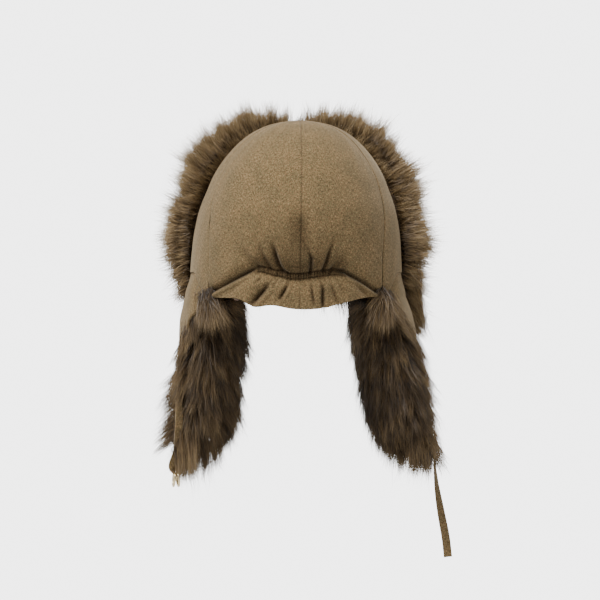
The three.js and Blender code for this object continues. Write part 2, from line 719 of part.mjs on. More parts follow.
// Rings that hang side by side in the loop, nearly edge-on from behind
const ringRadius = (RING_DIAMETER - RING_WIRE) / 2;
const loopFloor = loopHead.z - LOOP_HEIGHT + STRAP_PLY;
const RINGS = [
  { name: "ring_outer", shift: 1, turn: 8, tilt: -4 },
  { name: "ring_inner", shift: -1, turn: 12, tilt: 6 },
];
for (const { name, shift, turn, tilt } of RINGS) {
  const ring = new THREE.Mesh(new THREE.TorusGeometry(ringRadius, RING_WIRE / 2, 6, 16), gold);
  ring.name = name;
  ring.geometry.rotateY(Math.PI / 2);
  ring.geometry.translate(0, 0, -ringRadius);
  ring.geometry.rotateY(tilt * DEGREE);
  ring.geometry.rotateZ(turn * DEGREE);
  const aside = shift * (RING_WIRE / 2 + RING_GAP);
  ring.position.set(
    loopHead.x + aside * Math.cos(LOOP_TURN * DEGREE),
    loopHead.y + aside * Math.sin(LOOP_TURN * DEGREE),
    loopFloor + RING_WIRE / 2 + RING_GAP * 5,
  );
  hat.add(ring);
}

// Tie: a flat band along its route
const tieRoute = new THREE.CatmullRomCurve3(TIE_ROUTE.map((p) => new THREE.Vector3(...p)));
const tieSection = new THREE.Shape();
const halfWidth = TIE_WIDTH / 2;
const halfThickness = TIE_THICKNESS / 2;
const bevel = halfThickness / 2;
tieSection.setFromPoints([
  [halfThickness - bevel, -halfWidth],
  [halfThickness, -halfWidth + bevel],
  [halfThickness, halfWidth - bevel],
  [halfThickness - bevel, halfWidth],
  [bevel - halfThickness, halfWidth],
  [-halfThickness, halfWidth - bevel],
  [-halfThickness, bevel - halfWidth],
  [bevel - halfThickness, -halfWidth],
].map(([x, y]) => new THREE.Vector2(x, y)));
const tie = new THREE.Mesh(new THREE.ExtrudeGeometry(tieSection, {
  steps: 12,
  bevelEnabled: false,
  extrudePath: tieRoute,
}), wool);
tie.name = "tie";
hat.add(tie);

export default hat;
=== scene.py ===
import math

import bpy
import numpy as np
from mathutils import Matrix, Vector


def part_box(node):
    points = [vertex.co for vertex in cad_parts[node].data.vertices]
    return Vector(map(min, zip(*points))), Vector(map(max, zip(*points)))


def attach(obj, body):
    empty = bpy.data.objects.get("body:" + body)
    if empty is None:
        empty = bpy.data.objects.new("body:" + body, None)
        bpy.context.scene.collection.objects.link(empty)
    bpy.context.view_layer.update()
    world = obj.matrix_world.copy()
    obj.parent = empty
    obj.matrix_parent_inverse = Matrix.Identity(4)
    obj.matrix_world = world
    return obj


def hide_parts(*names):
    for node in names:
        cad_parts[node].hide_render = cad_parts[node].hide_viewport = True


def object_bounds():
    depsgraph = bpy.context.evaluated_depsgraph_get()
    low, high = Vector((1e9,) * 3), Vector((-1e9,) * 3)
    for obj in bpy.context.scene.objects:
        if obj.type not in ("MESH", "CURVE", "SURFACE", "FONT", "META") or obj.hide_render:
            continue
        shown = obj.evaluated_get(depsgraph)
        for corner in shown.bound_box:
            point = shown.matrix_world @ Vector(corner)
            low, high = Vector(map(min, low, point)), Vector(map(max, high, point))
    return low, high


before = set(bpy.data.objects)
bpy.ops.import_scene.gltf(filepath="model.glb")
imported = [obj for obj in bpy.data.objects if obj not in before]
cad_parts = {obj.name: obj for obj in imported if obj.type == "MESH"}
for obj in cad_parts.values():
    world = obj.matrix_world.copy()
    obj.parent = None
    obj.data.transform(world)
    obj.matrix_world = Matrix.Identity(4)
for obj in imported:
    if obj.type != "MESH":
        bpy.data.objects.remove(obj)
cad_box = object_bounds()
# Hair tips stay this near the CAD box
BOX_LOW, BOX_HIGH = (np.array(c) * 1000 + s * 14 for c, s in zip(cad_box, (-1, 1)))

# Lengths below are millimetres, as in the CAD source; meshes are written in metres.
MM = 0.001
DEGREE = math.pi / 180


# Camera at the photo's height and angle: behind the hat, level, far away with a long lens
CAMERA_DISTANCE = 2.6
PHOTO_WIDTH = 0.5652  # width of the photo at the hat, in metres
camera = bpy.data.objects.new("camera", bpy.data.cameras.new("camera"))
camera.location = (-0.0019, CAMERA_DISTANCE, -0.0038)
camera.rotation_euler = (math.pi / 2, 0, math.pi)
camera.data.sensor_width = 36
camera.data.lens = 36 * CAMERA_DISTANCE / PHOTO_WIDTH
bpy.context.collection.objects.link(camera)
bpy.context.scene.camera = camera


# Mesh and material helpers
def colour(code):
    """Linear colour from an sRGB hex value."""
    parts = [int(code[i : i + 2], 16) / 255 for i in (1, 3, 5)]
    return (*[p / 12.92 if p <= 0.04045 else ((p + 0.055) / 1.055) ** 2.4 for p in parts], 1)


def add(tree, kind, values=None, **settings):
    """A node with its settings. values gives its inputs, as numbers or as the sockets that feed them."""
    made = tree.nodes.new(kind)
    for name, value in settings.items():
        setattr(made, name, value)
    for name, value in (values or {}).items():
        if isinstance(value, bpy.types.NodeSocket):
            tree.links.new(value, made.inputs[name])
        else:
            made.inputs[name].default_value = value
    return made


def material(name):
    """A new material, its node tree and its principled shader."""
    made = bpy.data.materials.new(name)
    made.use_nodes = True
    return made, made.node_tree, made.node_tree.nodes["Principled BSDF"]


def feed(tree, shader, **sockets):
    """Feeds the shader's inputs; an underscore stands for a space."""
    for name, socket in sockets.items():
        tree.links.new(socket, shader.inputs[name.replace("_", " ")])


def ramp_stops(node, stops):
    """Sets a colour ramp from (place, hex) pairs."""
    elements = node.color_ramp.elements
    while len(elements) < len(stops):
        elements.new(0.5)
    for element, (place, code) in zip(elements, stops):
        element.position = place
        element.color = colour(code)


def mesh_piece(name, points, faces, finish, uv=None, values=None):
    """A piece from points in millimetres and faces with the same number of corners each."""
    mesh = bpy.data.meshes.new(name)
    corners = faces.shape[1]
    mesh.vertices.add(len(points))
    mesh.vertices.foreach_set("co", (points * MM).astype(np.float32).ravel())
    mesh.loops.add(faces.size)
    mesh.loops.foreach_set("vertex_index", faces.astype(np.int32).ravel())
    mesh.polygons.add(len(faces))
    mesh.polygons.foreach_set("loop_start", np.arange(0, faces.size, corners, dtype=np.int32))
    mesh.update(calc_edges=True)
    if uv is not None:
        layer = mesh.uv_layers.new(name="cloth")
        layer.data.foreach_set("uv", uv[faces.ravel()].astype(np.float32).ravel())
    for key, numbers in (values or {}).items():
        attribute = mesh.attributes.new(key, "FLOAT", "POINT")
        attribute.data.foreach_set("value", numbers.astype(np.float32))
    mesh.shade_smooth()
    mesh.materials.append(finish)
    piece = bpy.data.objects.new(name, mesh)
    bpy.context.collection.objects.link(piece)
    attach(piece, "root")
    return piece


def grid_faces(rows, columns, round_way=False):
    """Quads of a grid of points, row by row; round_way joins the last column to the first."""
    spans = columns if round_way else columns - 1
    r, c = np.meshgrid(np.arange(rows - 1), np.arange(spans), indexing="ij")
    a = (r * columns + c).ravel()
    b = (r * columns + (c + 1) % columns).ravel()
    return np.stack([a, b, b + columns, a + columns], axis=1)


def ramp(low, high, value):
    share = np.clip((value - low) / (high - low), 0, 1)
    return share * share * (3 - 2 * share)


def unit(vectors):
    return vectors / np.maximum(np.linalg.norm(vectors, axis=-1, keepdims=True), 1e-9)


def read(table, column, key):
    """A column of a table at values of its first column, along a smooth curve through the rows."""
    data = np.array(table["rows"], dtype=float)
    keys, values = data[:, 0], data[:, table["columns"].index(column)]
    slopes = np.empty(len(keys))
    slopes[1:-1] = (values[2:] - values[:-2]) / (keys[2:] - keys[:-2])
    slopes[0] = (values[1] - values[0]) / (keys[1] - keys[0])
    slopes[-1] = (values[-1] - values[-2]) / (keys[-1] - keys[-2])
    at = np.clip(key, keys[0], keys[-1])
    i = np.clip(np.searchsorted(keys, at, side="right") - 1, 0, len(keys) - 2)
    step = keys[i + 1] - keys[i]
    t = (at - keys[i]) / step
    ease = t * t * (3 - 2 * t)
    lift = t * (1 - t) * step * (slopes[i] * (1 - t) - slopes[i + 1] * t)
    return values[i] * (1 - ease) + values[i + 1] * ease + lift


# Materials
def wool_material():
    """Heathered woollen cloth, plain-woven and lightly brushed: olive, tan and pinkish fibres show as fine
    dashes along both threads, with a soft nap that pales where the cloth turns away. Painted shade, read
    from a mesh attribute, darkens the colour in folds, creases, seams and pinches."""
    made, tree, shader = material("heathered wool, woven and brushed")
    place = add(tree, "ShaderNodeUVMap", uv_map="cloth").outputs["UV"]
    # Yarns of blended fibre: each thread changes tone along its length, every 2 mm or so
    yarns = []
    for scale in ((0.36, 1.35, 1), (1.35, 0.4, 1)):
        drawn = add(tree, "ShaderNodeMapping", {"Vector": place, "Scale": scale})
        yarns.append(add(tree, "ShaderNodeTexNoise", {"Vector": drawn.outputs["Vector"], "Scale": 1.0, "Detail": 2.0, "Roughness": 0.7}))
    both = add(tree, "ShaderNodeMath", {0: yarns[0].outputs["Fac"], 1: yarns[1].outputs["Fac"]}, operation="ADD")
    mean = add(tree, "ShaderNodeMath", {0: both.outputs["Value"], 1: 0.5}, operation="MULTIPLY")
    tint = add(tree, "ShaderNodeValToRGB", {"Fac": mean.outputs["Value"]})
    ramp_stops(tint, [(0.36, "#453b2b"), (0.45, "#5c503d"), (0.51, "#6d604b"), (0.56, "#7e6f58"), (0.66, "#9b8972")])
    # Single fibres of pink and of green, half a millimetre across
    flecks = add(tree, "ShaderNodeTexNoise", {"Vector": place, "Scale": 1.1, "Detail": 1.0}, noise_dimensions="2D")
    fleck = add(tree, "ShaderNodeValToRGB", {"Fac": flecks.outputs["Color"]})
    ramp_stops(fleck, [(0.36, "#e2eed6"), (0.5, "#f4efe6"), (0.64, "#ffe6d6")])
    patch = add(tree, "ShaderNodeTexNoise", {"Vector": place, "Scale": 0.06, "Detail": 3.0})
    drift = add(tree, "ShaderNodeValToRGB", {"Fac": patch.outputs["Fac"]})
    ramp_stops(drift, [(0.32, "#e4e2d8"), (0.68, "#fff6ea")])
    # Painted shade: the attribute darkens the cloth where shade falls, in folds, creases, seams and pinches
    shade = add(tree, "ShaderNodeAttribute", attribute_name="painted_shade")
    dark = add(tree, "ShaderNodeValToRGB", {"Fac": shade.outputs["Fac"]})
    ramp_stops(dark, [(0.0, "#ffffff"), (1.0, "#6f5f4b")])
    last = tint.outputs["Color"]
    for layer in (fleck, drift, dark):
        blend = add(tree, "ShaderNodeMix", {0: 1.0}, data_type="RGBA", blend_type="MULTIPLY")
        tree.links.new(last, blend.inputs[6])
        tree.links.new(layer.outputs["Color"], blend.inputs[7])
        last = blend.outputs[2]
    warp = add(tree, "ShaderNodeTexWave", {"Vector": place, "Scale": 0.35, "Distortion": 1.5, "Detail": 2.0})
    weft = add(tree, "ShaderNodeTexWave", {"Vector": place, "Scale": 0.35, "Distortion": 1.5, "Detail": 2.0}, bands_direction="Y")
    weave = add(tree, "ShaderNodeMath", {0: warp.outputs["Fac"], 1: weft.outputs["Fac"]}, operation="MULTIPLY")
    height = add(tree, "ShaderNodeMath", {0: weave.outputs["Value"], 1: mean.outputs["Value"]}, operation="ADD")
    bump = add(tree, "ShaderNodeBump", {"Height": height.outputs["Value"], "Strength": 0.2, "Distance": 0.0002})
    feed(tree, shader, Base_Color=last, Normal=bump.outputs["Normal"])
    shader.inputs["Roughness"].default_value = 0.95
    shader.inputs["Specular IOR Level"].default_value = 0.12
    shader.inputs["Sheen Weight"].default_value = 0.28
    shader.inputs["Sheen Roughness"].default_value = 0.45
    shader.inputs["Sheen Tint"].default_value = colour("#d8c8ac")
    return made


def fur_material():
    """Long natural fur, combed out: dark underfur, brown shafts and paler dry tips, each hair with a
    soft gloss along it. Each coat is also made lighter or darker as a whole, as painted light and shade:
    lightest in the halo, darkest in the ear flaps' fur."""
    made, tree, shader = material("natural fur, long haired")
    along = add(tree, "ShaderNodeAttribute", attribute_name="along")
    shaft = add(tree, "ShaderNodeValToRGB", {"Fac": along.outputs["Fac"]})
    ramp_stops(shaft, [(0.0, "#443520"), (0.3, "#6a573b"), (0.65, "#907b5a"), (1.0, "#b2a081")])
    # Painted light and shade: besides each lock's own tone, this sets how light a whole coat is, lightest in the halo,
    # darkest in the ear fur
    tone_and_painted_light = add(tree, "ShaderNodeAttribute", attribute_name="tone_and_painted_light")
    tone = add(tree, "ShaderNodeValToRGB", {"Fac": tone_and_painted_light.outputs["Fac"]})
    ramp_stops(tone, [(0.0, "#62584a"), (0.5, "#bbb1a2"), (1.0, "#fffbf2")])
    blend = add(tree, "ShaderNodeMix", {0: 1.0}, data_type="RGBA", blend_type="MULTIPLY")
    tree.links.new(shaft.outputs["Color"], blend.inputs[6])
    tree.links.new(tone.outputs["Color"], blend.inputs[7])
    feed(tree, shader, Base_Color=blend.outputs[2])
    shader.inputs["Roughness"].default_value = 0.5
    shader.inputs["Specular IOR Level"].default_value = 0.35
    return made


def underfur_material():
    """Dense dark underfur: what shows between the locks, streaked along the hair. Its very dark colour is partly its
    own and partly painted shade deep in the coat.
    """
    made, tree, shader = material("underfur, dense and matt")
    place = add(tree, "ShaderNodeTexCoord").outputs["Object"]
    stretch = add(tree, "ShaderNodeMapping", {"Vector": place, "Scale": (900, 900, 120)})
    streaks = add(tree, "ShaderNodeTexNoise", {"Vector": stretch.outputs["Vector"], "Scale": 1.0, "Detail": 3.0})
    tint = add(tree, "ShaderNodeValToRGB", {"Fac": streaks.outputs["Fac"]})
    # Partly painted shade: the underfur is far darker than the hair's roots, for the shade deep between the locks
    ramp_stops(tint, [(0.3, "#261b0f"), (0.7, "#4a3b28")])
    bump = add(tree, "ShaderNodeBump", {"Height": streaks.outputs["Fac"], "Strength": 0.8, "Distance": 0.001})
    feed(tree, shader, Base_Color=tint.outputs["Color"], Normal=bump.outputs["Normal"])
    shader.inputs["Roughness"].default_value = 1.0
    shader.inputs["Specular IOR Level"].default_value = 0.05
    return made


def satin_material():
    """Taupe lining satin, smooth woven viscose: a fine rib and a soft long highlight."""
    made, tree, shader = material("lining satin, woven viscose")
    place = add(tree, "ShaderNodeUVMap", uv_map="cloth").outputs["UV"]
    rib = add(tree, "ShaderNodeTexWave", {"Vector": place, "Scale": 0.6, "Distortion": 0.6}, bands_direction="Y")
    tint = add(tree, "ShaderNodeValToRGB", {"Fac": rib.outputs["Fac"]})
    ramp_stops(tint, [(0.2, "#7c6252"), (0.8, "#937867")])
    bump = add(tree, "ShaderNodeBump", {"Height": rib.outputs["Fac"], "Strength": 0.2, "Distance": 0.0002})
    feed(tree, shader, Base_Color=tint.outputs["Color"], Normal=bump.outputs["Normal"])
    shader.inputs["Roughness"].default_value = 0.42
    return made


def gold_material():
    """Pale gold plating, polished: bright edges, with faint rubbing marks from wear."""
    made, tree, shader = material("pale gold plating, polished")
    place = add(tree, "ShaderNodeTexCoord").outputs["Object"]
    marks = add(tree, "ShaderNodeTexNoise", {"Vector": place, "Scale": 900.0, "Detail": 3.0})
    rough = add(tree, "ShaderNodeMapRange", {"Value": marks.outputs["Fac"], "To Min": 0.16, "To Max": 0.34})
    feed(tree, shader, Roughness=rough.outputs["Result"])
    shader.inputs["Base Color"].default_value = colour("#e9d6ae")
    shader.inputs["Metallic"].default_value = 1.0
    return made


wool = wool_material()
fur = fur_material()
underfur = underfur_material()
satin = satin_material()
gold = gold_material()


# Tie: a flat self-fabric band that turns once on its way down
TIE_WIDTH = 8.0
TIE_THICKNESS = 1.5
TIE_ROUTE = [
    (-128.6, -9, -138),
    (-128.6, -9, -146),
    (-129.0, -9, -157),
    (-129.9, -8, -168),
    (-131.4, -7, -182),
    (-135.0, -5, -204),
    (-139.2, -3, -227),
    (-141.4, -2, -246),
]


def through(points, count):
    """A smooth line of evenly spaced points through a few chosen ones."""
    chosen = np.array(points, dtype=float)
    ends = np.vstack([2 * chosen[0] - chosen[1], chosen, 2 * chosen[-1] - chosen[-2]])
    line = []
    for i in range(len(chosen) - 1):
        a, b, c, d = ends[i : i + 4]
        t = np.linspace(0, 1, 40, endpoint=False)[:, None]
        line.append(0.5 * (2 * b + (c - a) * t + (2 * a - 5 * b + 4 * c - d) * t**2 + (3 * b - a - 3 * c + d) * t**3))
    line = np.vstack([*line, chosen[-1:]])
    run = np.concatenate([[0], np.cumsum(np.linalg.norm(np.diff(line, axis=0), axis=1))])
    even = np.linspace(0, run[-1], count)
    return np.stack([np.interp(even, run, line[:, k]) for k in range(3)], axis=1), run[-1]


def band(line, across, width, thickness):
    """Points, faces and cloth places of a flat band with rounded edges along a line. across is the
    direction of its width at each point."""
    along = unit(np.gradient(line, axis=0))
    side = unit(across - (across * along).sum(axis=1, keepdims=True) * along)
    face = np.cross(along, side)
    w, h = width / 2, thickness / 2
    section = [(-w, 0), (-w + 0.35 * h, 0.8 * h), (-w * 0.75, h), (0, h * 0.86), (w * 0.75, h), (w - 0.35 * h, 0.8 * h),
               (w, 0), (w - 0.35 * h, -0.8 * h), (w * 0.75, -h), (0, -h * 0.86), (-w * 0.75, -h), (-w + 0.35 * h, -0.8 * h)]
    rings = np.stack([line + side * a + face * b for a, b in section], axis=1)
    count = len(section)
    points = np.vstack([rings.reshape(-1, 3), line[:1], line[-1:]])
    faces = grid_faces(len(line), count, True)
    first, last = len(points) - 2, len(points) - 1
    k = np.arange(count)
    low = np.stack([(k + 1) % count, k, np.full(count, first), np.full(count, first)], axis=1)
    start = (len(line) - 1) * count
    high = np.stack([start + k, start + (k + 1) % count, np.full(count, last), np.full(count, last)], axis=1)
    run = np.concatenate([[0], np.cumsum(np.linalg.norm(np.diff(line, axis=0), axis=1))])
    uv = np.stack([np.tile([a for a, b in section], len(line)), np.repeat(run, count)], axis=1)
    uv = np.vstack([uv, [[0, 0], [0, run[-1]]]])
    quads = faces
    triangles = np.vstack([low[:, :3], high[:, :3]])
    return points, np.vstack([quads[:, [0, 1, 2]], quads[:, [0, 2, 3]], triangles]), uv


tie_line, tie_length = through(TIE_ROUTE, 90)
tie_run = np.linspace(0, 1, len(tie_line))
tie_turn = (82 - 74 * ramp(0.1, 0.85, tie_run)) * DEGREE
tie_across = np.stack([np.cos(tie_turn), np.sin(tie_turn), 0 * tie_turn], axis=1)
tie_wide = TIE_WIDTH * (1 + 0.02 * np.sin(tie_run * 23))
points, faces, uv = band(tie_line, tie_across, tie_wide.mean(), TIE_THICKNESS)
tie = mesh_piece("tie_band", points, faces, wool, uv, {"painted_shade": np.zeros(len(points))})
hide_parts("tie")


# Crown, as in the CAD source: sizes in millimetres, tables in shares of them
CROWN_HEIGHT = 165
CROWN_HALF_WIDTH = 99
CROWN_BACK_DEPTH = 111
CROWN_FRONT_DEPTH = 109
CROWN_LEAN = 4
CENTRE_SEAM_ANGLE = -2.5
SIDE_SEAM_ANGLE = 54
SIDE_SEAM_SWING = 9
FRONT_SEAM_ANGLE = 126
LEVEL_HEIGHT = 62
CLOTH = 1.6
GATHER_HEIGHT = 24
HEM_DROP = 12
EAR_ROOT_HEIGHT = 22
EAR_LENGTH = 152
FLAP_HEIGHT = 152
FLAP_HALF_ANGLE = 78

CROWN_SECTIONS = {
    "columns": ["climb", "height", "width", "back", "front"],
    "rows": [
        [0.0, -0.1, 0.995, 0.905, 0.965],
        [0.09, 0.0, 1.0, 0.93, 0.98],
        [0.18, 0.12, 1.0, 0.97, 1.0],
        [0.27, 0.24, 0.988, 0.99, 1.0],
        [0.36, 0.36, 0.969, 1.0, 0.985],
        [0.45, 0.48, 0.93, 0.985, 0.95],
        [0.54, 0.585, 0.868, 0.93, 0.89],
        [0.63, 0.695, 0.79, 0.845, 0.805],
        [0.72, 0.805, 0.667, 0.71, 0.68],
        [0.82, 0.9, 0.51, 0.535, 0.52],
        [0.9, 0.96, 0.338, 0.35, 0.34],
        [0.96, 0.99, 0.165, 0.17, 0.165],
        [1.0, 1.0, 0.0, 0.0, 0.0],
    ],
}
BACK_EDGE = {
    "columns": ["across", "gather", "hem"],
    "rows": [
        [-0.83, 0.04, -0.1],
        [-0.77, 0.1, -0.05],
        [-0.6, 0.54, -0.17],
        [-0.44, 0.85, -0.48],
        [-0.23, 0.77, -0.94],
        [0.0, 0.65, -1.0],
        [0.21, 0.81, -0.71],
        [0.375, 0.98, -0.77],
        [0.5, 0.75, -0.2],
        [0.7, 0.3, -0.14],
        [0.83, 0.04, -0.12],
    ],
}
# Folds seen from behind, in millimetres: where each starts, bends and ends, how wide and how deep it is
FOLDS = [
    # top x, top z, middle x, middle z, foot x, foot z, width, depth
    (25.5, 52, 20.5, 34, 15.4, 20.5, 3.4, 4.6),
    (16.2, 26, 13.0, 22, 8.5, 18.5, 1.8, 2.2),
    (38.5, 50, 33.0, 36, 27.0, 23.5, 3.2, 1.7),
    (54.5, 49, 47.0, 35, 37.5, 24.5, 4.6, 1.5),
    (-2.0, 78, -5.0, 60, -8.0, 42.0, 8.0, 1.8),
    (-9.0, 43, -13.2, 33, -12.7, 19.5, 2.3, 3.6),
    (-34.5, 54, -30.0, 39, -25.5, 21.0, 2.5, 3.4),
    (-38.0, 33, -35.0, 26, -31.5, 19.0, 2.2, 1.8),
    (-44.0, 40, -40.0, 30, -37.0, 22.0, 2.6, 0.9),
    (23.5, 14.5, 31.0, 5, 41.0, -7.0, 3.6, 4.4),
    (33.0, 16.5, 35.5, 14.5, 38.5, 12.0, 1.5, 1.6),
    (19.0, 15.0, 21.0, 11, 23.0, 7.0, 1.5, 1.4),
    (8.0, 12.5, 11.0, 6, 16.5, -3.0, 2.4, 3.4),
    (3.8, 12.0, 4.2, 8, 4.6, 5.0, 1.4, 1.0),
    (-6.2, 12.0, -7.0, 9, -7.6, 6.0, 1.5, 1.0),
    (-12.9, 14.5, -13.4, 5, -15.0, -9.0, 1.7, 2.6),
    (-21.0, 14.5, -23.6, 5, -22.8, -10.0, 2.2, 4.2),
    (-29.5, 15.0, -31.8, 8, -35.0, -6.0, 1.9, 2.2),
    (-36.0, 17.0, -38.0, 11, -41.0, 3.0, 2.2, 1.1),
    (-52.0, 13.0, -57.0, 6, -62.0, 1.0, 3.0, 1.0),
    (50.0, 13.5, 56.0, 8, 62.0, 2.0, 3.5, 0.9),
]

dense_climb = np.linspace(0, 1, 2001)
dense_height = read(CROWN_SECTIONS, "height", dense_climb) * CROWN_HEIGHT


def climb_at(height):
    return np.interp(height, dense_height, dense_climb)


def centre_x(height):
    return CROWN_LEAN * (0.6 - np.clip(height / CROWN_HEIGHT, 0, 1))


def crown_base(angle, climb):
    height = read(CROWN_SECTIONS, "height", climb) * CROWN_HEIGHT
    width = read(CROWN_SECTIONS, "width", climb) * CROWN_HALF_WIDTH
    back = read(CROWN_SECTIONS, "back", climb) * CROWN_BACK_DEPTH
    front = read(CROWN_SECTIONS, "front", climb) * CROWN_FRONT_DEPTH
    depth = np.where(np.cos(angle) > 0, back, front)
    return np.stack([centre_x(height) + width * np.sin(angle), depth * np.cos(angle), height], axis=-1)


def crown_point(angle, climb, out):
    d = 0.004
    around = crown_base(angle + d, climb) - crown_base(angle - d, climb)
    up = crown_base(angle, np.minimum(climb + d, 0.999)) - crown_base(angle, np.maximum(climb - d, 0))
    normal = unit(np.cross(up, around))
    outwards = np.stack([np.sin(angle), np.cos(angle), 0.2 + 0 * angle], axis=-1)
    normal = np.where((normal * outwards).sum(axis=-1, keepdims=True) < 0, -normal, normal)
    return crown_base(angle, climb) + normal * np.asarray(out)[..., None]


def rim_height(angle):
    turn = np.abs(angle) / DEGREE
    rear = ramp(SIDE_SEAM_ANGLE, SIDE_SEAM_ANGLE + 20, turn)
    return EAR_ROOT_HEIGHT * rear * (1 - ramp(FRONT_SEAM_ANGLE - 18, FRONT_SEAM_ANGLE, turn))


def gather_height(angle):
    return read(BACK_EDGE, "gather", np.sin(angle)) * GATHER_HEIGHT


def wander(place, seed):
    """A smooth uneven line: a few waves of different lengths."""
    phases = np.random.default_rng(seed).uniform(0, 2 * math.pi, 4)
    return sum(np.sin(place * k + p) / (1 + 0.4 * i) for i, (k, p) in enumerate(zip((1, 2.3, 4.1, 7.7), phases))) / 2


def back_relief(angle, height):
    """How far the back cloth lies in or out: the pinch of the elastic, its small gathers, the flare and
    the pleats of the ruffle, and the folds that run up from it. Also how much shade is painted into the
    cloth's colour at each point: in the pinch, the creases, the folds and the dent over the gathers."""
    across = np.sin(angle)
    x = centre_x(height) + CROWN_HALF_WIDTH * across
    away = height - gather_height(angle)
    hold = 1 - 0.75 * ramp(0.4, 0.8, np.abs(across))
    pinch = np.exp(-((away / 7.0) ** 2))
    flare = np.where(away < 0, 5 * np.clip(-away / (GATHER_HEIGHT + HEM_DROP), 0, 1), 0)
    slope = np.where(away > 0, np.exp(-((away / 24) ** 2)), 1) * ramp(0.62, 0.2, np.abs(across + 0.03))
    relief = hold * (-6 * pinch + 1.5 * flare) - 5.0 * slope
    # Painted shade in the pinch of the elastic
    painted_shade = 0.35 * hold * np.exp(-((away / 3.2) ** 2))
    # A narrow casing with an elastic inside stands out a little, shirred in small pleats
    elastic = ramp(-0.5, -0.46, across) * (1 - ramp(0.37, 0.41, across))
    casing = np.exp(-((away / 1.9) ** 4))
    relief += elastic * 2.2 * casing
    pleats = np.sin(x * 2 * math.pi / 2.7 + 1.2 * wander(x * 0.11, 3))
    relief += elastic * 0.7 * pleats * np.exp(-((away / 3.0) ** 2))
    # Painted shade in the valleys of the shirring, and just above and below the casing
    painted_shade += elastic * (0.45 * casing * np.clip(-pleats, 0, 1) + 0.55 * np.exp(-(((np.abs(away) - 2.8) / 0.9) ** 2)))
    small = np.sin(x * 2 * math.pi / 5.8 + 2.5 * wander(x * 0.07, 5))
    relief += elastic * 0.5 * small * np.exp(-(((away + 1) / 8) ** 2))
    # The two creases that run from the ends of the elastic down to the side seams: the ruffle's edge
    # stands out over them
    crease = ramp(0.36, 0.46, np.abs(across)) * (1 - ramp(0.77, 0.83, np.abs(across)))
    relief += crease * (-3.4 * np.exp(-(((away - 1.2) / 2.3) ** 2)) + 2.6 * np.exp(-(((away + 3.2) / 3.2) ** 2)))
    # Painted shade in the creases
    painted_shade += 0.6 * crease * np.exp(-(((away - 0.8) / 2.2) ** 2))
    for top_x, top_z, bend_x, bend_z, foot_x, foot_z, width, depth in FOLDS:
        best = np.full(x.shape, 1e9)
        side, share = np.zeros(x.shape), np.zeros(x.shape)
        first = math.hypot(bend_x - top_x, bend_z - top_z)
        last = math.hypot(foot_x - bend_x, foot_z - bend_z)
        for a_x, a_z, b_x, b_z, start, length in (
            (top_x, top_z, bend_x, bend_z, 0, first),
            (bend_x, bend_z, foot_x, foot_z, first, last),
        ):
            run_x, run_z = b_x - a_x, b_z - a_z
            along = np.clip(((x - a_x) * run_x + (height - a_z) * run_z) / length**2, 0, 1)
            off_x, off_z = x - a_x - run_x * along, height - a_z - run_z * along
            distance = np.hypot(off_x, off_z) / width
            nearer = distance < best
            side = np.where(nearer, (off_x * run_z - off_z * run_x) / length / width, side)
            share = np.where(nearer, (start + along * length) / (first + last), share)
            best = np.where(nearer, distance, best)
        strength = 1.3 * depth * (0.1 + 0.9 * ramp(0, 0.62, share)) * (1 - 0.35 * ramp(0.8, 1, share))
        relief -= strength * np.exp(-1.5 * best**1.25)
        relief += 0.4 * strength * np.exp(-((side - 1.3) ** 2) * 1.4 - 0.5 * (best / 2) ** 4)
        # Painted shade along each fold
        painted_shade += 0.2 * strength * min(1, 3.2 / width) * np.exp(-((best * 1.5) ** 2))
    # The back hangs in over the gathers, most of all at the centre
    dent = np.exp(-(np.abs((x + 1.5) / 9.5) ** 2.6) - np.abs((height - 56) / 17) ** 2.6)
    relief -= 2.6 * dent
    # Painted shade over the dent, just above the elastic and low at the centre
    painted_shade += 0.36 * dent + 0.4 * elastic * np.exp(-(((away - 8) / 9) ** 2))
    painted_shade += 0.25 * np.exp(-((x / 22) ** 4) - ((height - 36) / 12) ** 2)
    relief += 0.35 * wander(x * 0.06 + height * 0.03, 8) + 0.25 * wander(x * 0.15 - height * 0.09, 9)
    return relief, np.clip(painted_shade, 0, 0.9)


def seam_angle(kind, climb):
    swing = SIDE_SEAM_SWING * ramp(climb_at(GATHER_HEIGHT), 0.6, climb)
    side = SIDE_SEAM_ANGLE + swing
    return {"centre": CENTRE_SEAM_ANGLE, "left": side, "right": -side, "left_front": FRONT_SEAM_ANGLE,
            "right_front": -FRONT_SEAM_ANGLE, "face_left": 180, "face_right": -180}[kind] * DEGREE + 0 * climb


# How plainly each seam shows, in the depth of its groove and the shade painted in it: the centre one is a thin line,
# the left one hardly shows
SEAM_DEPTH = {"centre": 0.7, "left": 0.15, "right": 0.6, "left_front": 0.5, "right_front": 0.5, "face_left": 0.7, "face_right": 0.7}


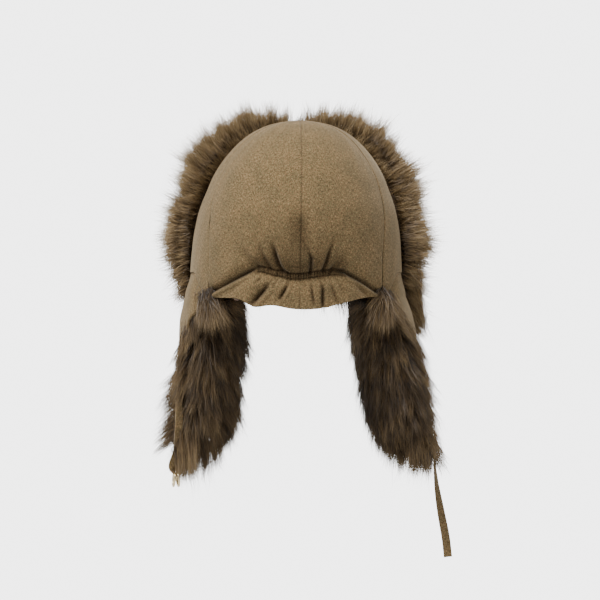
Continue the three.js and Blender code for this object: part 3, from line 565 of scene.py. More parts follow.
def crown_panel(name, first, last, columns, gathered):
    """A panel of the crown between two seams, with turned edges at the seams and at its lower edge."""
    t = np.linspace(0, 1, columns)
    across = t - 0.13 * np.sin(2 * math.pi * t)
    tucked = [(-3, 7), (-2.6, 4), (-2, 2), (-1.2, 0.6), (-0.5, 0.1)]
    rows, runs, painted_shades = [], [], []
    low = np.linspace(0, 1, 46) if gathered else []
    middle = np.linspace(0, 1, 76 if gathered else 40)[1 if gathered else 0 :]
    high = climb_at(LEVEL_HEIGHT) + (0.9999 - climb_at(LEVEL_HEIGHT)) * np.linspace(0, 1, 46)[1:]
    steps = [("tuck", s) for s in tucked] + [("low", s) for s in low] + [("middle", s) for s in middle]
    steps += [("high", s) for s in high]
    for kind, share in steps:
        guess = share if kind == "high" else climb_at(LEVEL_HEIGHT * (share if kind == "middle" else 0))
        radius = max(float(read(CROWN_SECTIONS, "width", guess)) * CROWN_HALF_WIDTH, 1.2)
        gap = -0.06 / radius
        start, end = float(seam_angle(first, guess)) + gap, float(seam_angle(last, guess)) - gap
        angle = start + (end - start) * across
        edge = read(BACK_EDGE, "hem", np.sin(angle)) * HEM_DROP if gathered else rim_height(angle)
        top = gather_height(angle)
        inset = 0.0
        if kind == "tuck":
            inset, height = share[0], edge + share[1]
        elif kind == "low":
            height = edge + (top - edge) * share
        elif kind == "middle":
            foot = top if gathered else edge
            height = foot + (LEVEL_HEIGHT - foot) * share
        else:
            height = read(CROWN_SECTIONS, "height", share) * CROWN_HEIGHT + 0 * angle
        climb = share + 0 * angle if kind == "high" else climb_at(height)
        relief, painted_shade = back_relief(angle, height) if gathered else (
            0.35 * wander(angle * 6 + height * 0.02, 11), 0 * angle)
        if gathered:
            fade = 1 - ramp(LEVEL_HEIGHT, LEVEL_HEIGHT * 1.7, height)
            relief = relief * fade + 0.3 * wander(angle * 5 + height * 0.02, 12) * (1 - fade)
        from_seam = np.minimum(across, 1 - across) * (end - start) * radius
        seam_and_shade = np.exp(-((from_seam / 0.8) ** 2)) * np.where(across < 0.5, SEAM_DEPTH[first], SEAM_DEPTH[last])
        seam_puff = np.where(across < 0.5, SEAM_DEPTH[first], SEAM_DEPTH[last])
        puff = 0.8 * np.sin(math.pi * across) * min(1, radius / 40) + 0.2 * seam_puff * np.exp(-(((from_seam - 2.4) / 1.2) ** 2))
        rows.append(crown_point(angle, climb, relief + puff - 0.8 * seam_and_shade * min(1, radius / 12) + inset))
        # Painted shade in each seam's groove, added to the shade from back_relief
        painted_shades.append(np.clip(painted_shade + 0.35 * seam_and_shade, 0, 1))
        runs.append((angle - (start + end) / 2) * radius)
    points = np.stack(rows)
    run = np.zeros(points.shape[:2])
    run[1:] = np.cumsum(np.linalg.norm(np.diff(points, axis=0), axis=2), axis=0)
    uv = np.stack([np.stack(runs), run], axis=-1).reshape(-1, 2)
    faces = grid_faces(len(rows), columns)
    piece = mesh_piece(f"{name}_cloth", points.reshape(-1, 3), faces[:, ::-1], wool, uv,
                       {"painted_shade": np.stack(painted_shades).ravel()})
    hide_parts(name)
    return piece


crown_panel("crown_back_left", "centre", "left", 112, True)
crown_panel("crown_back_right", "right", "centre", 112, True)
crown_panel("crown_side_left", "left", "left_front", 50, False)
crown_panel("crown_side_right", "right_front", "right", 50, False)
crown_panel("crown_front_left", "left_front", "face_left", 40, False)
crown_panel("crown_front_right", "face_right", "right_front", 40, False)


# Lining: smooth satin inside the crown, a little short of the hem
def lining_piece():
    angles = np.linspace(-math.pi, math.pi, 121)[:-1]
    turn = np.abs(angles) / DEGREE
    behind = 1 - ramp(SIDE_SEAM_ANGLE - 14, SIDE_SEAM_ANGLE - 4, turn)
    edge = (rim_height(angles) + CLOTH) * (1 - behind) - HEM_DROP * 0.5 * behind
    edge = edge + behind * 0.6 * wander(angles * 7, 21)
    room_behind = 1 - ramp(SIDE_SEAM_ANGLE - 8, SIDE_SEAM_ANGLE + 12, turn)
    rows = []
    for kind, share in [("tuck", 5.0), ("tuck", 1.0)] + [("low", s) for s in np.linspace(0, 1, 22)] + [
            ("high", s) for s in np.linspace(0, 1, 22)[1:]]:
        if kind == "high":
            start = climb_at(LEVEL_HEIGHT)
            climb = start + (0.985 - start) * share + 0 * angles
            height = read(CROWN_SECTIONS, "height", climb) * CROWN_HEIGHT
        else:
            height = edge + (share if kind == "tuck" else (LEVEL_HEIGHT - edge) * share)
            climb = climb_at(height)
        low = 1 - ramp(LEVEL_HEIGHT, LEVEL_HEIGHT * 1.7, height)
        away = height - gather_height(angles)
        pull = -6 * room_behind * np.exp(-((away / 7.0) ** 2))
        inset = -2.6 - 12.5 * room_behind * low + pull + 0.35 * wander(angles * 9 + height * 0.05, 22)
        rows.append(crown_point(angles, climb, inset - (0.9 if kind == "tuck" and share > 2 else 0)))
    points = np.stack(rows)
    uv = np.stack([np.tile(angles * 95, len(rows)), points[..., 2].ravel()], axis=1)
    faces = grid_faces(len(rows), len(angles), True)
    piece = mesh_piece("lining_satin", points.reshape(-1, 3), faces, satin, uv)
    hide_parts("lining")


lining_piece()


# Ear flaps and front flap: cloth
EAR_OUTLINE = {
    "columns": ["drop", "rear", "front"],
    "rows": [[0.0, 0, 0], [0.12, 4, 0], [0.25, 10, 1], [0.4, 13, 4], [0.6, 14, 9], [0.8, 16, 14], [0.92, 19, 18], [1.0, 25, 24]],
}
EAR_FLARE = {
    "columns": ["drop", "share"],
    "rows": [[0.0, 0.0], [0.2, 0.55], [0.4, 0.86], [0.6, 0.96], [0.8, 1.0], [1.1, 1.03]],
}
FLAP_EDGE = {
    "columns": ["turn", "height"],
    "rows": [[0.0, 1.0], [0.4, 0.975], [0.6, 0.885], [0.8, 0.745], [0.93, 0.6], [1.0, 0.44]],
}
FLAP_LEAN = {
    "columns": ["rise", "width", "depth"],
    "rows": [[0.0, 0.98, 0.98], [0.39, 0.985, 1.01], [0.68, 0.94, 1.0], [1.0, 0.81, 0.93]],
}
LEFT = {"name": "left", "sign": 1, "flare": 14.5, "splay": 0}
RIGHT = {"name": "right", "sign": -1, "flare": 17, "splay": 11}


def ear_flare(side, height):
    drop = np.clip(-height / EAR_LENGTH, 0, 1.1)
    return side["flare"] * read(EAR_FLARE, "share", drop) + side["splay"] * drop


def reach_at(climb, angle):
    width = read(CROWN_SECTIONS, "width", climb) * CROWN_HALF_WIDTH
    back = read(CROWN_SECTIONS, "back", climb) * CROWN_BACK_DEPTH
    front = read(CROWN_SECTIONS, "front", climb) * CROWN_FRONT_DEPTH
    return width, np.where(np.cos(angle) > 0, back, front)


def ear_point(side, across, drop, out):
    rear = SIDE_SEAM_ANGLE + read(EAR_OUTLINE, "rear", drop) + 0.1
    front = FRONT_SEAM_ANGLE - read(EAR_OUTLINE, "front", drop) - 0.1
    angle = (rear + (front - rear) * across) * DEGREE
    corner = 0.16 * np.abs(2 * across - 1) ** 3
    height = (rim_height(angle) - 0.3) * (1 - drop) - EAR_LENGTH * (1 - corner) * drop
    width, depth = reach_at(climb_at(np.maximum(height, -HEM_DROP)), angle)
    flare = ear_flare(side, height)
    x = (width + flare + out) * np.sin(angle)
    y = (depth + 0.5 * flare + out) * np.cos(angle)
    return np.stack([centre_x(height) + side["sign"] * x, y, height], axis=-1)


def thicken(piece, thickness):
    """Gives a cloth sheet its thickness, inwards."""
    modifier = piece.modifiers.new("thickness", "SOLIDIFY")
    modifier.thickness = thickness * MM
    modifier.offset = -1
    with bpy.context.temp_override(object=piece):
        bpy.ops.object.modifier_apply(modifier="thickness")


for side in (LEFT, RIGHT):
    across, drop = np.meshgrid(np.linspace(0, 1, 44), np.linspace(0, 1, 64))
    edge = np.minimum(across, 1 - across) * 100
    hem = np.minimum(edge, (1 - drop) * EAR_LENGTH)
    out = 0.5 * wander(drop * 7 + across * 2, 31 + side["sign"]) * ramp(0, 0.2, drop)
    out = out + 0.35 * np.exp(-(((hem - 3) / 2) ** 2)) - 0.5 * np.exp(-((hem / 1.2) ** 2))
    # The flap stands out a little below its root, and its top tucks in behind the edge of the crown
    out = out + 4.7 * ramp(0, 0.13, drop) * (1 - ramp(0.2, 0.45, drop))
    out = np.where(drop < 0.001, out - 0.2, out)
    drop = np.where(drop < 0.001, -0.012, drop)
    points = ear_point(side, across, drop, out).reshape(-1, 3)
    uv = np.stack([across.ravel() * 110, drop.ravel() * EAR_LENGTH], axis=1)
    faces = grid_faces(*across.shape)
    faces = faces if side is LEFT else faces[:, ::-1]
    # Painted shade: darker along the flap's top seam and towards its lower rear edge
    seam_and_shade = (0.15 * np.exp(-((drop * EAR_LENGTH / 1.2) ** 2)) + 0.4 * ramp(0.4, 0.75, drop) * ramp(0.25, 0.05, across)).ravel()
    piece = mesh_piece(f"ear_flap_{side['name']}_cloth", points, faces, wool, uv, {"painted_shade": seam_and_shade})
    thicken(piece, CLOTH)
    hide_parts(f"ear_flap_{side['name']}")


def flap_point(angle, height, out):
    width, depth = reach_at(climb_at(np.clip(height, -HEM_DROP, CROWN_HEIGHT)), angle)
    rise = height / FLAP_HEIGHT
    width = np.maximum(width, read(FLAP_LEAN, "width", rise) * CROWN_HALF_WIDTH)
    depth = np.maximum(depth, read(FLAP_LEAN, "depth", rise) * CROWN_FRONT_DEPTH)
    x = centre_x(height) + (width + out) * np.sin(angle)
    return np.stack([x, (depth + out) * np.cos(angle), height], axis=-1)


def flap_top(turn):
    return read(FLAP_EDGE, "height", np.abs(turn) / FLAP_HALF_ANGLE) * FLAP_HEIGHT


turn, rise = np.meshgrid(np.linspace(-FLAP_HALF_ANGLE, FLAP_HALF_ANGLE, 90), np.linspace(0, 1, 40))
foot = rim_height(math.pi - np.abs(turn) * DEGREE) + 2
flap_height = foot + (flap_top(turn) - 3 - foot) * rise
flap_out = 3.2 + 0.25 * wander(turn * 0.1 + rise * 3, 41)
points = flap_point(math.pi + turn * DEGREE, flap_height, flap_out).reshape(-1, 3)
uv = np.stack([turn.ravel() * 1.8, flap_height.ravel()], axis=1)
# Painted shade: the flap's cloth is darker towards its top edge, behind the crown
flap = mesh_piece("front_flap_cloth", points, grid_faces(*turn.shape)[:, ::-1], wool, uv,
                  {"painted_shade": ramp(0.55, 0.95, rise).ravel()})
thicken(flap, CLOTH)
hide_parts("front_flap")


# Fur: an underfur body from each CAD solid, and hairs in locks over it
def node_surface(name):
    """Triangles of a CAD node in millimetres, with smooth normals at their corners."""
    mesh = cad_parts[name].data
    mesh.calc_loop_triangles()
    points = np.empty(len(mesh.vertices) * 3)
    mesh.vertices.foreach_get("co", points)
    points = points.reshape(-1, 3) / MM
    corners = np.empty(len(mesh.loop_triangles) * 3, dtype=np.int32)
    mesh.loop_triangles.foreach_get("vertices", corners)
    corners = corners.reshape(-1, 3)
    unused, first, same = np.unique(np.round(points, 2), axis=0, return_index=True, return_inverse=True)
    corners = same.reshape(-1)[corners]
    points = points[first]
    a, b, c = (points[corners[:, k]] for k in range(3))
    cross = np.cross(b - a, c - a)
    normals = np.zeros_like(points)
    for k in range(3):
        np.add.at(normals, corners[:, k], cross)
    return points, corners, unit(normals), np.linalg.norm(cross, axis=1) / 2


def scatter(name, count, rng):
    """Points and normals spread evenly over a CAD node."""
    points, corners, normals, areas = node_surface(name)
    chosen = rng.choice(len(corners), size=count, p=areas / areas.sum())
    u, v = rng.random(count), rng.random(count)
    u, v = np.where(u + v > 1, 1 - u, u), np.where(u + v > 1, 1 - v, v)
    weights = np.stack([1 - u - v, u, v], axis=1)[..., None]
    return (points[corners[chosen]] * weights).sum(axis=1), unit((normals[corners[chosen]] * weights).sum(axis=1))


def underfur_body(name, inset, level, squeeze, beyond=0):
    """A smooth body inside the outer form of the fur, its dark colour partly painted shade deep in the coat.
    Below a level, and further out than beyond, it ends higher than the hair does."""
    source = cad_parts[name]
    piece = bpy.data.objects.new(f"{name}_under", source.data.copy())
    bpy.context.collection.objects.link(piece)
    for kind, settings in (
        ("REMESH", {"mode": "VOXEL", "voxel_size": 0.0055}),
        ("SMOOTH", {"factor": 0.7, "iterations": 24}),
        ("DISPLACE", {"strength": -inset * MM, "mid_level": 0.0}),
        ("SMOOTH", {"factor": 0.5, "iterations": 4}),
    ):
        modifier = piece.modifiers.new(kind.lower(), kind)
        for key, value in settings.items():
            setattr(modifier, key, value)
    graph = bpy.context.evaluated_depsgraph_get()
    mesh = bpy.data.meshes.new_from_object(piece.evaluated_get(graph))
    piece.modifiers.clear()
    piece.data = mesh
    for vertex in mesh.vertices:
        below = min(vertex.co.z - level * MM, 0)
        vertex.co.z -= below * (1 - squeeze) * float(ramp(beyond, beyond + 25, abs(vertex.co.x) / MM))
    mesh.materials.clear()
    mesh.materials.append(underfur)
    mesh.shade_smooth()
    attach(piece, "root")
    return piece


STRAND_POINTS = 4


def hairs(name, roots, normals, starts, ends, lengths, tones, lock_count, rng, strands, width=0.34,
          untidy=0.13, gather=0.45, spread=2.3, thinning=1.0, ragged=0.1, guards=0.09):
    """Locks of hair. A guide bends from its start direction to its end one. Its strands stand round it and
    draw together towards its tip, and the guides of a lock lean towards each other."""
    count = len(roots)
    lock_count = min(lock_count, count // 3)
    locks = nearest(roots, roots[rng.choice(count, lock_count, replace=False)])
    turned = rng.normal(0, untidy, (lock_count, 3))[locks]
    ends = unit(ends + turned)
    lengths = lengths * rng.uniform(1 - ragged, 1 + 0.4 * ragged, lock_count)[locks]
    tones = tones + rng.uniform(-0.26, 0.26, lock_count)[locks]
    s = np.linspace(0, 1, STRAND_POINTS)[None, :, None]
    guides = roots[:, None] + lengths[:, None, None] * (starts[:, None] * (s - s**2 / 2) + ends[:, None] * s**2 / 2)
    tips = guides[:, -1]
    middles = np.zeros((lock_count, 3))
    np.add.at(middles, locks, tips)
    middles /= np.maximum(np.bincount(locks, minlength=lock_count), 1)[:, None]
    guides += (middles[locks] - tips)[:, None] * (gather * s**1.8)
    across = unit(np.cross(normals, ends) + rng.normal(0, 0.1, (count, 3)))
    over = unit(np.cross(across, ends))
    per = np.repeat(np.arange(count), strands)
    total = len(per)
    offset = across[per] * rng.normal(0, spread, total)[:, None] + over[per] * rng.normal(0, 0.65 * spread, total)[:, None]
    draw = rng.uniform(0.25, 0.95, total)[:, None, None]
    # A few guard hairs stand out longer, thinner and less tidy
    guard = rng.random(total) < guards
    reach = np.where(guard, rng.uniform(0.95, 1.3, total), 0.5 + 0.54 * rng.random(total) ** thinning)
    line = guides[per] - roots[per][:, None]
    line = roots[per][:, None] + line * reach[:, None, None] + offset[:, None] * (1 - draw * s**0.9)
    loose = np.where(guard, 3.0, 1.3)[:, None, None]
    line += rng.normal(0, 1, (total, 1, 3)) * loose * s**2
    line += rng.normal(0, 0.5, (total, 1, 3)) * np.sin(math.pi * s)
    # A strand that would leave the box is shortened
    start, run = line[:, :1], line - line[:, :1]
    room = np.where(run > 0, BOX_HIGH - start, start - BOX_LOW) / np.maximum(np.abs(run), 1e-6)
    line = start + run * np.clip(room.min(axis=(1, 2)), 0.05, 1)[:, None, None]
    tangents = unit(np.gradient(line, axis=1))
    roll = rng.normal(0, 0.8, total)[:, None, None]
    face = normals[per][:, None] * np.cos(roll) + across[per][:, None] * np.sin(roll)
    side = unit(np.cross(tangents, face))
    taper = np.array([0.9, 1.0, 0.7, 0.0])[None, :, None]
    half = 0.5 * width * np.where(guard, 0.75, rng.uniform(0.7, 1.25, total))[:, None, None] * taper
    left, right = line - side * half, line + side * half
    points = np.concatenate([left[:, :-1], right[:, :-1], line[:, -1:]], axis=1)
    n = STRAND_POINTS - 1
    own = 2 * n + 1
    faces = []
    for k in range(n - 1):
        faces += [(k, n + k, n + k + 1), (k, n + k + 1, k + 1)]
    faces.append((n - 1, 2 * n - 1, 2 * n))
    faces = (np.array(faces)[None] + (np.arange(total) * own)[:, None, None]).reshape(-1, 3)
    along = np.concatenate([np.linspace(0, 1, STRAND_POINTS)[:-1]] * 2 + [[1.0]])
    values = {
        "along": np.clip(np.tile(along, total) + np.repeat(rng.normal(0, 0.07, total), own), 0, 1),
        "tone_and_painted_light": np.repeat(np.clip(tones[per] + rng.normal(0, 0.14, total), 0, 1), own),
    }
    return mesh_piece(name, points.reshape(-1, 3), faces, fur, None, values)


def nearest(points, centres):
    """Index of the nearest centre for each point, in slices to keep memory small."""
    found = []
    for part in np.array_split(points, max(1, len(points) // 400)):
        found.append(((part[:, None] - centres[None]) ** 2).sum(axis=2).argmin(axis=1))
    return np.concatenate(found)


def ear_fur(side, guides, strands, seed):
    """Fur on the inner side of an ear flap: it fans out from the rear corner of the flap's root and falls."""
    name = f"ear_fur_{side['name']}"
    rng = np.random.default_rng(seed)
    sign = side["sign"]
    points, normals = scatter(name, guides * 2, rng)
    angle = np.arctan2(sign * (points[:, 0] - 2.4) / CROWN_HALF_WIDTH, points[:, 1] / CROWN_BACK_DEPTH) / DEGREE
    drop = np.clip(-points[:, 2] / EAR_LENGTH, 0, 1)
    rear = SIDE_SEAM_ANGLE + read(EAR_OUTLINE, "rear", drop)
    front = FRONT_SEAM_ANGLE - read(EAR_OUTLINE, "front", drop)
    beside = (angle > rear + 1) & (angle < front - 1) & (normals[:, 0] * sign > 0.2)
    open_side = ~beside & (points[:, 2] < 8)
    points, normals = points[open_side][:guides], normals[open_side][:guides]
    # Roots lie no lower than the flap's own edge, so the hair ends evenly below it
    lowest = -147 + 9 * rng.random(len(points))
    lift = np.clip(lowest - points[:, 2], 0, None)
    points[:, 2] += 0.8 * lift
    corner = np.array([sign * 80 + 2, 60, 4.0])
    fan = unit(points - corner)
    fall = unit(np.array([side["hair_lean"], 0.05, -1.0]))
    near = np.exp(-np.linalg.norm(points - corner, axis=1) / 52)[:, None]
    flow = unit(fan * (0.12 + near) + fall * (1 - 0.8 * near) + rng.normal(0, 0.07, points.shape))
    facing = np.clip((flow * normals).sum(axis=1), 0, 1)
    starts = unit(flow + 0.5 * normals * (1 - facing[:, None]))
    ends = unit(flow + 0.2 * normals + np.array([0, 0, -0.1]) + rng.normal(0, 0.07, points.shape))
    lengths = rng.uniform(24, 38, len(points)) * (1 - 0.4 * facing)
    lengths *= ramp(12, -22, points[:, 2]) * 0.5 + 0.5
    room = (side["hair_end"] + rng.uniform(-8, 6, len(points)) + points[:, 2]) / np.clip(-ends[:, 2], 0.4, 1)
    lengths = np.where(lift > 0, room * rng.uniform(0.85, 1.0, len(points)), lengths)
    lengths = np.clip(lengths, 12, np.maximum(room, 12))
    inset = 4 + 7 * ramp(10, -20, points[:, 2]) - 1.5 * facing
    tiers = wander(points[:, 2] * 0.055 + points[:, 0] * 0.02, 81 + sign)
    # Painted shade: the ear fur's tone is set far below the halo's, and lower on the right flap, away from the key
    # light
    tones = (0.12 if sign > 0 else 0.05) + 0.22 * tiers + 0.22 * near[:, 0] + 0.24 * ramp(-110, -155, points[:, 2])
    return hairs(f"{name}_hair", points - normals * inset[:, None], normals, starts, ends, lengths, tones,
                 420, rng, strands, untidy=0.18, ragged=0.2)


def ear_rim_fur(side, guides, strands, seed):
    """Hair of an ear flap that hangs over the edges of its cloth, and the tuft at its rear corner."""
    rng = np.random.default_rng(seed)
    sign = side["sign"]
    kind = rng.random(guides)
    tuft, rear, low, foot = kind < 0.18, (kind >= 0.18) & (kind < 0.5), (kind >= 0.5) & (kind < 0.79), kind >= 0.79
    drop = np.where(rear, rng.uniform(0.0, side["rear_to"], guides), rng.uniform(side["hair_from"], 1.0, guides))
    across = np.where(rear, rng.uniform(-0.03, 0.1, guides), rng.uniform(side["hair_low"], 1.05, guides))
    drop = np.where(foot, rng.uniform(0.8, 1.0, guides), drop)
    across = np.where(foot, rng.uniform(0.0, 1.0, guides), across)
    points = ear_point(side, across, drop, np.where(foot, rng.uniform(-16, -1, guides), rng.uniform(-3, 1.0, guides)))
    outwards = np.where(rear, side["hair_spread"] * (1 - ramp(*side["hair_spread_ends"], drop)), side["hair_out"])
    outwards = outwards + np.where(rear, side["hair_fill"] * ramp(0.25, 0.4, drop) * (1 - ramp(0.62, 0.7, drop)), 0)
    outwards = np.where(foot, -0.12, outwards)
    flow = np.stack([sign * outwards, np.where(rear | foot, 0.12, -0.1), -np.ones(guides)], axis=1)
    corner = np.array([sign * 79 + 2, 62, 1.0])
    spread = rng.uniform(side["tuft_from"], 0.9, guides)
    points = np.where(tuft[:, None], corner + rng.normal(0, 1, (guides, 3)) * np.array([3.2, 2.0, 2.6]), points)
    fan = np.stack([sign * -np.sin(spread), 0.25 + 0 * spread, -np.cos(spread)], axis=1)
    flow = unit(np.where(tuft[:, None], fan, flow) + rng.normal(0, 0.06, (guides, 3)))
    normals = unit(np.stack([sign * np.where(low, 0.8, 0.3), np.where(low, 0.4, 1.0), 0 * drop], axis=1))
    starts = unit(flow + 0.35 * normals)
    ends = unit(flow - 0.1 * normals)
    lengths = np.where(tuft, rng.uniform(30, 46, guides), np.where(low, rng.uniform(26, 42, guides), rng.uniform(20, 32, guides)))
    lengths = np.where(foot, (side["hair_end"] - 4 + points[:, 2]) * rng.uniform(0.8, 1.05, guides), lengths)
    lengths *= np.where(rear, 0.6 + 0.4 * ramp(0, 0.25, drop), 1) * np.where(tuft, 1 - 0.35 * ramp(-0.2, -0.9, spread), 1)
    # Painted shade: the rim fur is set dark, like the ear fur, far below the halo's tone
    tones = np.where(tuft, 0.32, 0.34)
    return hairs(f"ear_fur_{side['name']}_rim", points, normals, starts, ends, lengths, tones, 130, rng, strands)


LEFT.update(hair_lean=0.02, hair_spread=0.1, hair_spread_ends=(0.3, 0.6), hair_from=0.5, hair_low=0.9, hair_out=1.15,
            hair_end=184, tuft_from=-0.75, rear_to=0.68, hair_fill=0.4)
RIGHT.update(hair_lean=-0.34, hair_spread=0.75, hair_spread_ends=(0.9, 1.3), hair_from=0.3, hair_low=0.6, hair_out=0.6,
             hair_end=178, tuft_from=-1.05, rear_to=1.0, hair_fill=0.0)
for side, seed in ((LEFT, 51), (RIGHT, 52)):
    for piece in (
        ear_fur(side, 2800, 10, seed),
        ear_rim_fur(side, 1250, 8, seed + 4),
        underfur_body(f"ear_fur_{side['name']}", 7, -95, 0.72),
    ):
        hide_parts(f"ear_fur_{side['name']}")


HALO_CENTRE = np.array([2.0, -60, 62])


def halo_envelope():
    """How far the fur of the front flap reaches from the halo's middle, seen from behind, every 3 degrees."""
    points = node_surface("front_flap_fur")[0] - HALO_CENTRE
    turn = np.degrees(np.arctan2(points[:, 0], points[:, 2]))
    reach = np.hypot(points[:, 0], points[:, 2])
    stations = np.arange(-180, 181, 3)
    far = np.array([reach[np.abs((turn - a + 180) % 360 - 180) < 6].max(initial=60) for a in stations])
    return stations, np.convolve(np.pad(far, 2, mode="wrap"), [0.1, 0.2, 0.4, 0.2, 0.1], mode="valid")


envelope_turns, envelope_reach = halo_envelope()


def radiate(points, rng):
    """Directions outwards from the middle of the halo, turning down at its lower ends."""
    out = unit((points - HALO_CENTRE) * np.array([1, 0, 1.0]))
    low = ramp(45, -25, points[:, 2])[:, None]
    return unit(out * (1 - 0.45 * low) + np.array([0, 0.04, -0.75]) * low + rng.normal(0, 0.13, points.shape))


def trim(points, flow, lengths, rng, beyond):
    """Shortens hair so that its tips end near the outer form of the fur."""
    out = points - HALO_CENTRE
    reach = np.hypot(out[:, 0], out[:, 2])
    edge = np.interp(np.degrees(np.arctan2(out[:, 0], out[:, 2])), envelope_turns, envelope_reach)
    # Less of it shows over the middle of the crown, and at the wearer's left beside the ear flap
    dip = 8 * np.exp(-((points[:, 0] / 24) ** 2)) * ramp(120, 150, points[:, 2])
    dip = dip + 15 * ramp(40, 10, points[:, 2]) * (points[:, 0] > 0)
    turn = np.arctan2(out[:, 0], out[:, 2])
    uneven = 3.5 * wander(turn * 5, 71) + 2.5 * wander(turn * 14, 72)
    # It is fullest at its upper corners
    uneven = uneven + 10 * np.exp(-(((turn / DEGREE - 53) / 15) ** 2)) + 3 * np.exp(-(((turn / DEGREE + 66) / 12) ** 2))
    room = edge - dip + uneven + rng.uniform(-8, beyond, len(points)) - reach
    along = np.clip((flow * unit(out * np.array([1, 0, 1.0]))).sum(axis=1), 0.3, 1)
    return np.minimum(room / along, lengths)


def front_fur(name, guides, strands, seed, behind):
    """Fur of the front flap: its rim and back, seen from behind as a halo, or its front."""
    rng = np.random.default_rng(seed)
    points, normals = scatter("front_flap_fur", guides * 12, rng)
    out = unit((points - HALO_CENTRE) * np.array([1, 0, 1.0]))
    outer = (normals[:, 1] > -0.25) | ((out * normals).sum(axis=1) > 0.75)
    turn = np.clip(np.arctan2(points[:, 0] / 100, -points[:, 1] / 110) / DEGREE, -FLAP_HALF_ANGLE, FLAP_HALF_ANGLE)
    bed = (normals[:, 1] > 0.3) & (points[:, 2] < flap_top(turn) - 4) & (np.abs(points[:, 0]) < 96)
    keep = (outer if behind else ~outer) & ~bed
    points, normals = points[keep], normals[keep]
    flow = radiate(points, rng)
    if not behind:
        # The front is brushed up from a parting near the flap's fold
        parted = unit((points - np.array([2, -60, 20])) * np.array([0.6, 0, 1.0]))
        flow = unit(flow * ramp(50, 110, np.abs(points[:, :1])) + parted + rng.normal(0, 0.14, points.shape))
    facing = np.clip((flow * normals).sum(axis=1), 0, 1)
    starts = unit(flow + 0.5 * normals * (1 - facing[:, None]))
    ends = unit(flow + rng.normal(0, 0.05, points.shape) + np.array([0, 0, 0.04]))
    roots = points - normals * 11
    lengths = trim(roots, flow, rng.uniform(30, 46, len(points)), rng, 14)
    # Hair too short to belong to this coat is left out
    long = np.flatnonzero((lengths > 17) & ((points[:, 0] < 60) | (points[:, 2] > rng.uniform(-14, 18, len(points)))))[:guides]
    roots, normals, starts, ends, lengths = (a[long] for a in (roots, normals, starts, ends, lengths))
    # Painted light: the halo's hair is set to the lightest tone of all the fur, for light from above and through its
    # tips
    return hairs(name, roots, normals, starts, ends, lengths, np.full(len(long), 0.98), 520, rng, strands,
                 untidy=0.22, gather=0.6, spread=2.6, thinning=1.5, ragged=0.36, guards=0.16)


def flap_edge_fur(name, guides, strands, seed):
    """Hair that flops back over the top edge of the front flap and fills the gap behind the crown."""
    rng = np.random.default_rng(seed)
    turn = rng.uniform(-FLAP_HALF_ANGLE, FLAP_HALF_ANGLE, guides)
    upright = rng.random(guides) < 0.35
    turn = np.where(upright, np.sign(turn) * rng.uniform(62, FLAP_HALF_ANGLE + 1, guides), turn)
    down = rng.uniform(0, 1, guides)
    side_run = ramp(40, 70, np.abs(turn))
    height = flap_top(turn) + 1 - (24 + 70 * side_run) * down
    points = flap_point(math.pi + turn * DEGREE, height, 3.0 + 2 * down)
    flow = radiate(points, rng)
    normals = np.tile([0.0, 1.0, 0.0], (guides, 1))
    starts = unit(0.5 * flow + 0.85 * normals)
    ends = unit(flow + 0.15 * normals + rng.normal(0, 0.06, points.shape))
    lengths = np.maximum(trim(points, flow, rng.uniform(20, 36, guides), rng, 7), 8)
    # Painted shade: the hair behind the crown's edge is set darker than the halo's
    tones = np.full(guides, 0.72)
    return hairs(name, points, normals, starts, ends, lengths, tones, 300, rng, strands,
                 untidy=0.22, gather=0.55, spread=2.6, thinning=1.5, ragged=0.3, guards=0.14)


front_pieces = [
    front_fur("front_flap_fur_rim_a", 3100, 12, 61, True),
    front_fur("front_flap_fur_rim_b", 1500, 12, 63, True),
    flap_edge_fur("front_flap_fur_edge", 2100, 9, 64),
    front_fur("front_flap_fur_face", 1400, 8, 62, False),
    underfur_body("front_flap_fur", 9, 55, 0.55, 58),
]
for piece in front_pieces:
    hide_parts("front_flap_fur")


# Strap loop and rings
loop_low, loop_high = (np.array(corner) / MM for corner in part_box("strap_loop"))
loop_middle = (loop_low + loop_high) / 2
LOOP_ROUTE = [
    # x and z from the loop's head
    (-5.0, 68), (-5.0, 52), (-4.6, 36), (-3.6, 20), (-1.4, 6), (0.8, 0), (2.6, -5), (3.2, -10), (2.3, -14.4), (0, -16.0), (-2.3, -14.4),
    (-3.0, -10), (-2.4, -4.5), (-1.6, -0.5), (-1.6, 5),
]
head = np.array([loop_middle[0], loop_middle[1], loop_high[2]])
route, unused = through([(head[0] + x, head[1] + 2.5 - 0.3 * x, head[2] + z) for x, z in LOOP_ROUTE], 120)
route[:, 1] += 26 * ramp(head[2] + 2, head[2] + 30, route[:, 2]) * (1 - 1.6 * ramp(head[2] + 48, head[2] + 66, route[:, 2]))
loop_turn = np.interp(np.linspace(0, 1, 120), [0, 0.5, 0.71, 0.77, 0.83, 1.0], [8, 8, 14, 90, 166, 172]) * DEGREE
loop_across = np.stack([np.cos(loop_turn), np.sin(loop_turn), 0 * loop_turn], axis=1)
points, faces, uv = band(route, loop_across, 7.4, 1.4)
strap = mesh_piece("strap_loop_band", points, faces, wool, uv, {"painted_shade": np.zeros(len(points))})
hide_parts("strap_loop")

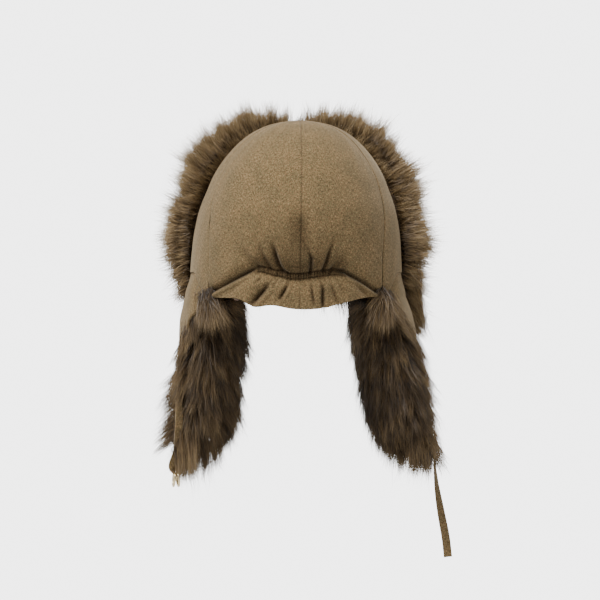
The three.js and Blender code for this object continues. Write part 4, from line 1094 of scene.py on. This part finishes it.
RING_RADIUS = 6.55
RING_WIRE = 2.2
for name, turn_angle, tilt in (("ring_outer", 8, -4), ("ring_inner", 12, 6)):
    low, high = (np.array(corner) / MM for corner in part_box(name))
    around, section = np.meshgrid(np.arange(64) * 2 * math.pi / 64, np.arange(16) * 2 * math.pi / 16, indexing="ij")
    wire = RING_WIRE / 2 * (1 + 0.0 * around)
    ring = np.stack([wire * np.sin(section), (RING_RADIUS + wire * np.cos(section)) * np.cos(around),
                     (RING_RADIUS + wire * np.cos(section)) * np.sin(around)], axis=-1)
    c, s = math.cos(tilt * DEGREE), math.sin(tilt * DEGREE)
    ring = np.stack([ring[..., 0] * c + ring[..., 2] * s, ring[..., 1], ring[..., 2] * c - ring[..., 0] * s], axis=-1)
    c, s = math.cos(turn_angle * DEGREE), math.sin(turn_angle * DEGREE)
    ring = np.stack([ring[..., 0] * c - ring[..., 1] * s, ring[..., 0] * s + ring[..., 1] * c, ring[..., 2]], axis=-1)
    faces = grid_faces(64, 16, True)
    closing = np.stack([63 * 16 + np.arange(16), 63 * 16 + (np.arange(16) + 1) % 16, (np.arange(16) + 1) % 16, np.arange(16)], axis=1)
    piece = mesh_piece(f"{name}_polished", ring.reshape(-1, 3) + (low + high) / 2, np.vstack([faces, closing]), gold)
    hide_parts(name)


# Stage: a pale floor, and a white screen lit from behind, which fills the camera's view
def stage_piece(name, corners, code, glow):
    mesh = bpy.data.meshes.new(name)
    mesh.from_pydata(corners, [], [tuple(range(len(corners)))])
    paper, tree, shader = material(f"{name}, matt")
    shader.inputs["Base Color"].default_value = colour(code)
    shader.inputs["Roughness"].default_value = 1.0
    shader.inputs["Specular IOR Level"].default_value = 0.0
    shader.inputs["Emission Color"].default_value = (1, 1, 1, 1)
    shader.inputs["Emission Strength"].default_value = glow
    mesh.materials.append(paper)
    piece = bpy.data.objects.new(name, mesh)
    bpy.context.collection.objects.link(piece)


SCREEN = 1.1  # half its width, in metres
stage_piece("pale_floor", [(-5, -5, -0.8), (5, -5, -0.8), (5, 5, -0.8), (-5, 5, -0.8)], "#cfcfcd", 0.0)
stage_piece("lit_screen", [(x, -3.1, z) for x, z in ((-SCREEN, -0.8), (-SCREEN, 1.4), (SCREEN, 1.4), (SCREEN, -0.8))], "#000000", 4.35)


def area_light(name, place, size, power, target=(0, 0, 0)):
    light = bpy.data.lights.new(name, "AREA")
    light.size = size
    light.energy = power
    made = bpy.data.objects.new(name, light)
    made.location = place
    made.rotation_euler = (Vector(target) - Vector(place)).to_track_quat("-Z", "Y").to_euler()
    bpy.context.collection.objects.link(made)


area_light("key", (0.95, 1.3, 2.6), 1.2, 165)
world = bpy.data.worlds.new("soft room")
world.use_nodes = True
world.node_tree.nodes["Background"].inputs["Color"].default_value = colour("#ffffff")
world.node_tree.nodes["Background"].inputs["Strength"].default_value = 1.0
bpy.context.scene.world = world
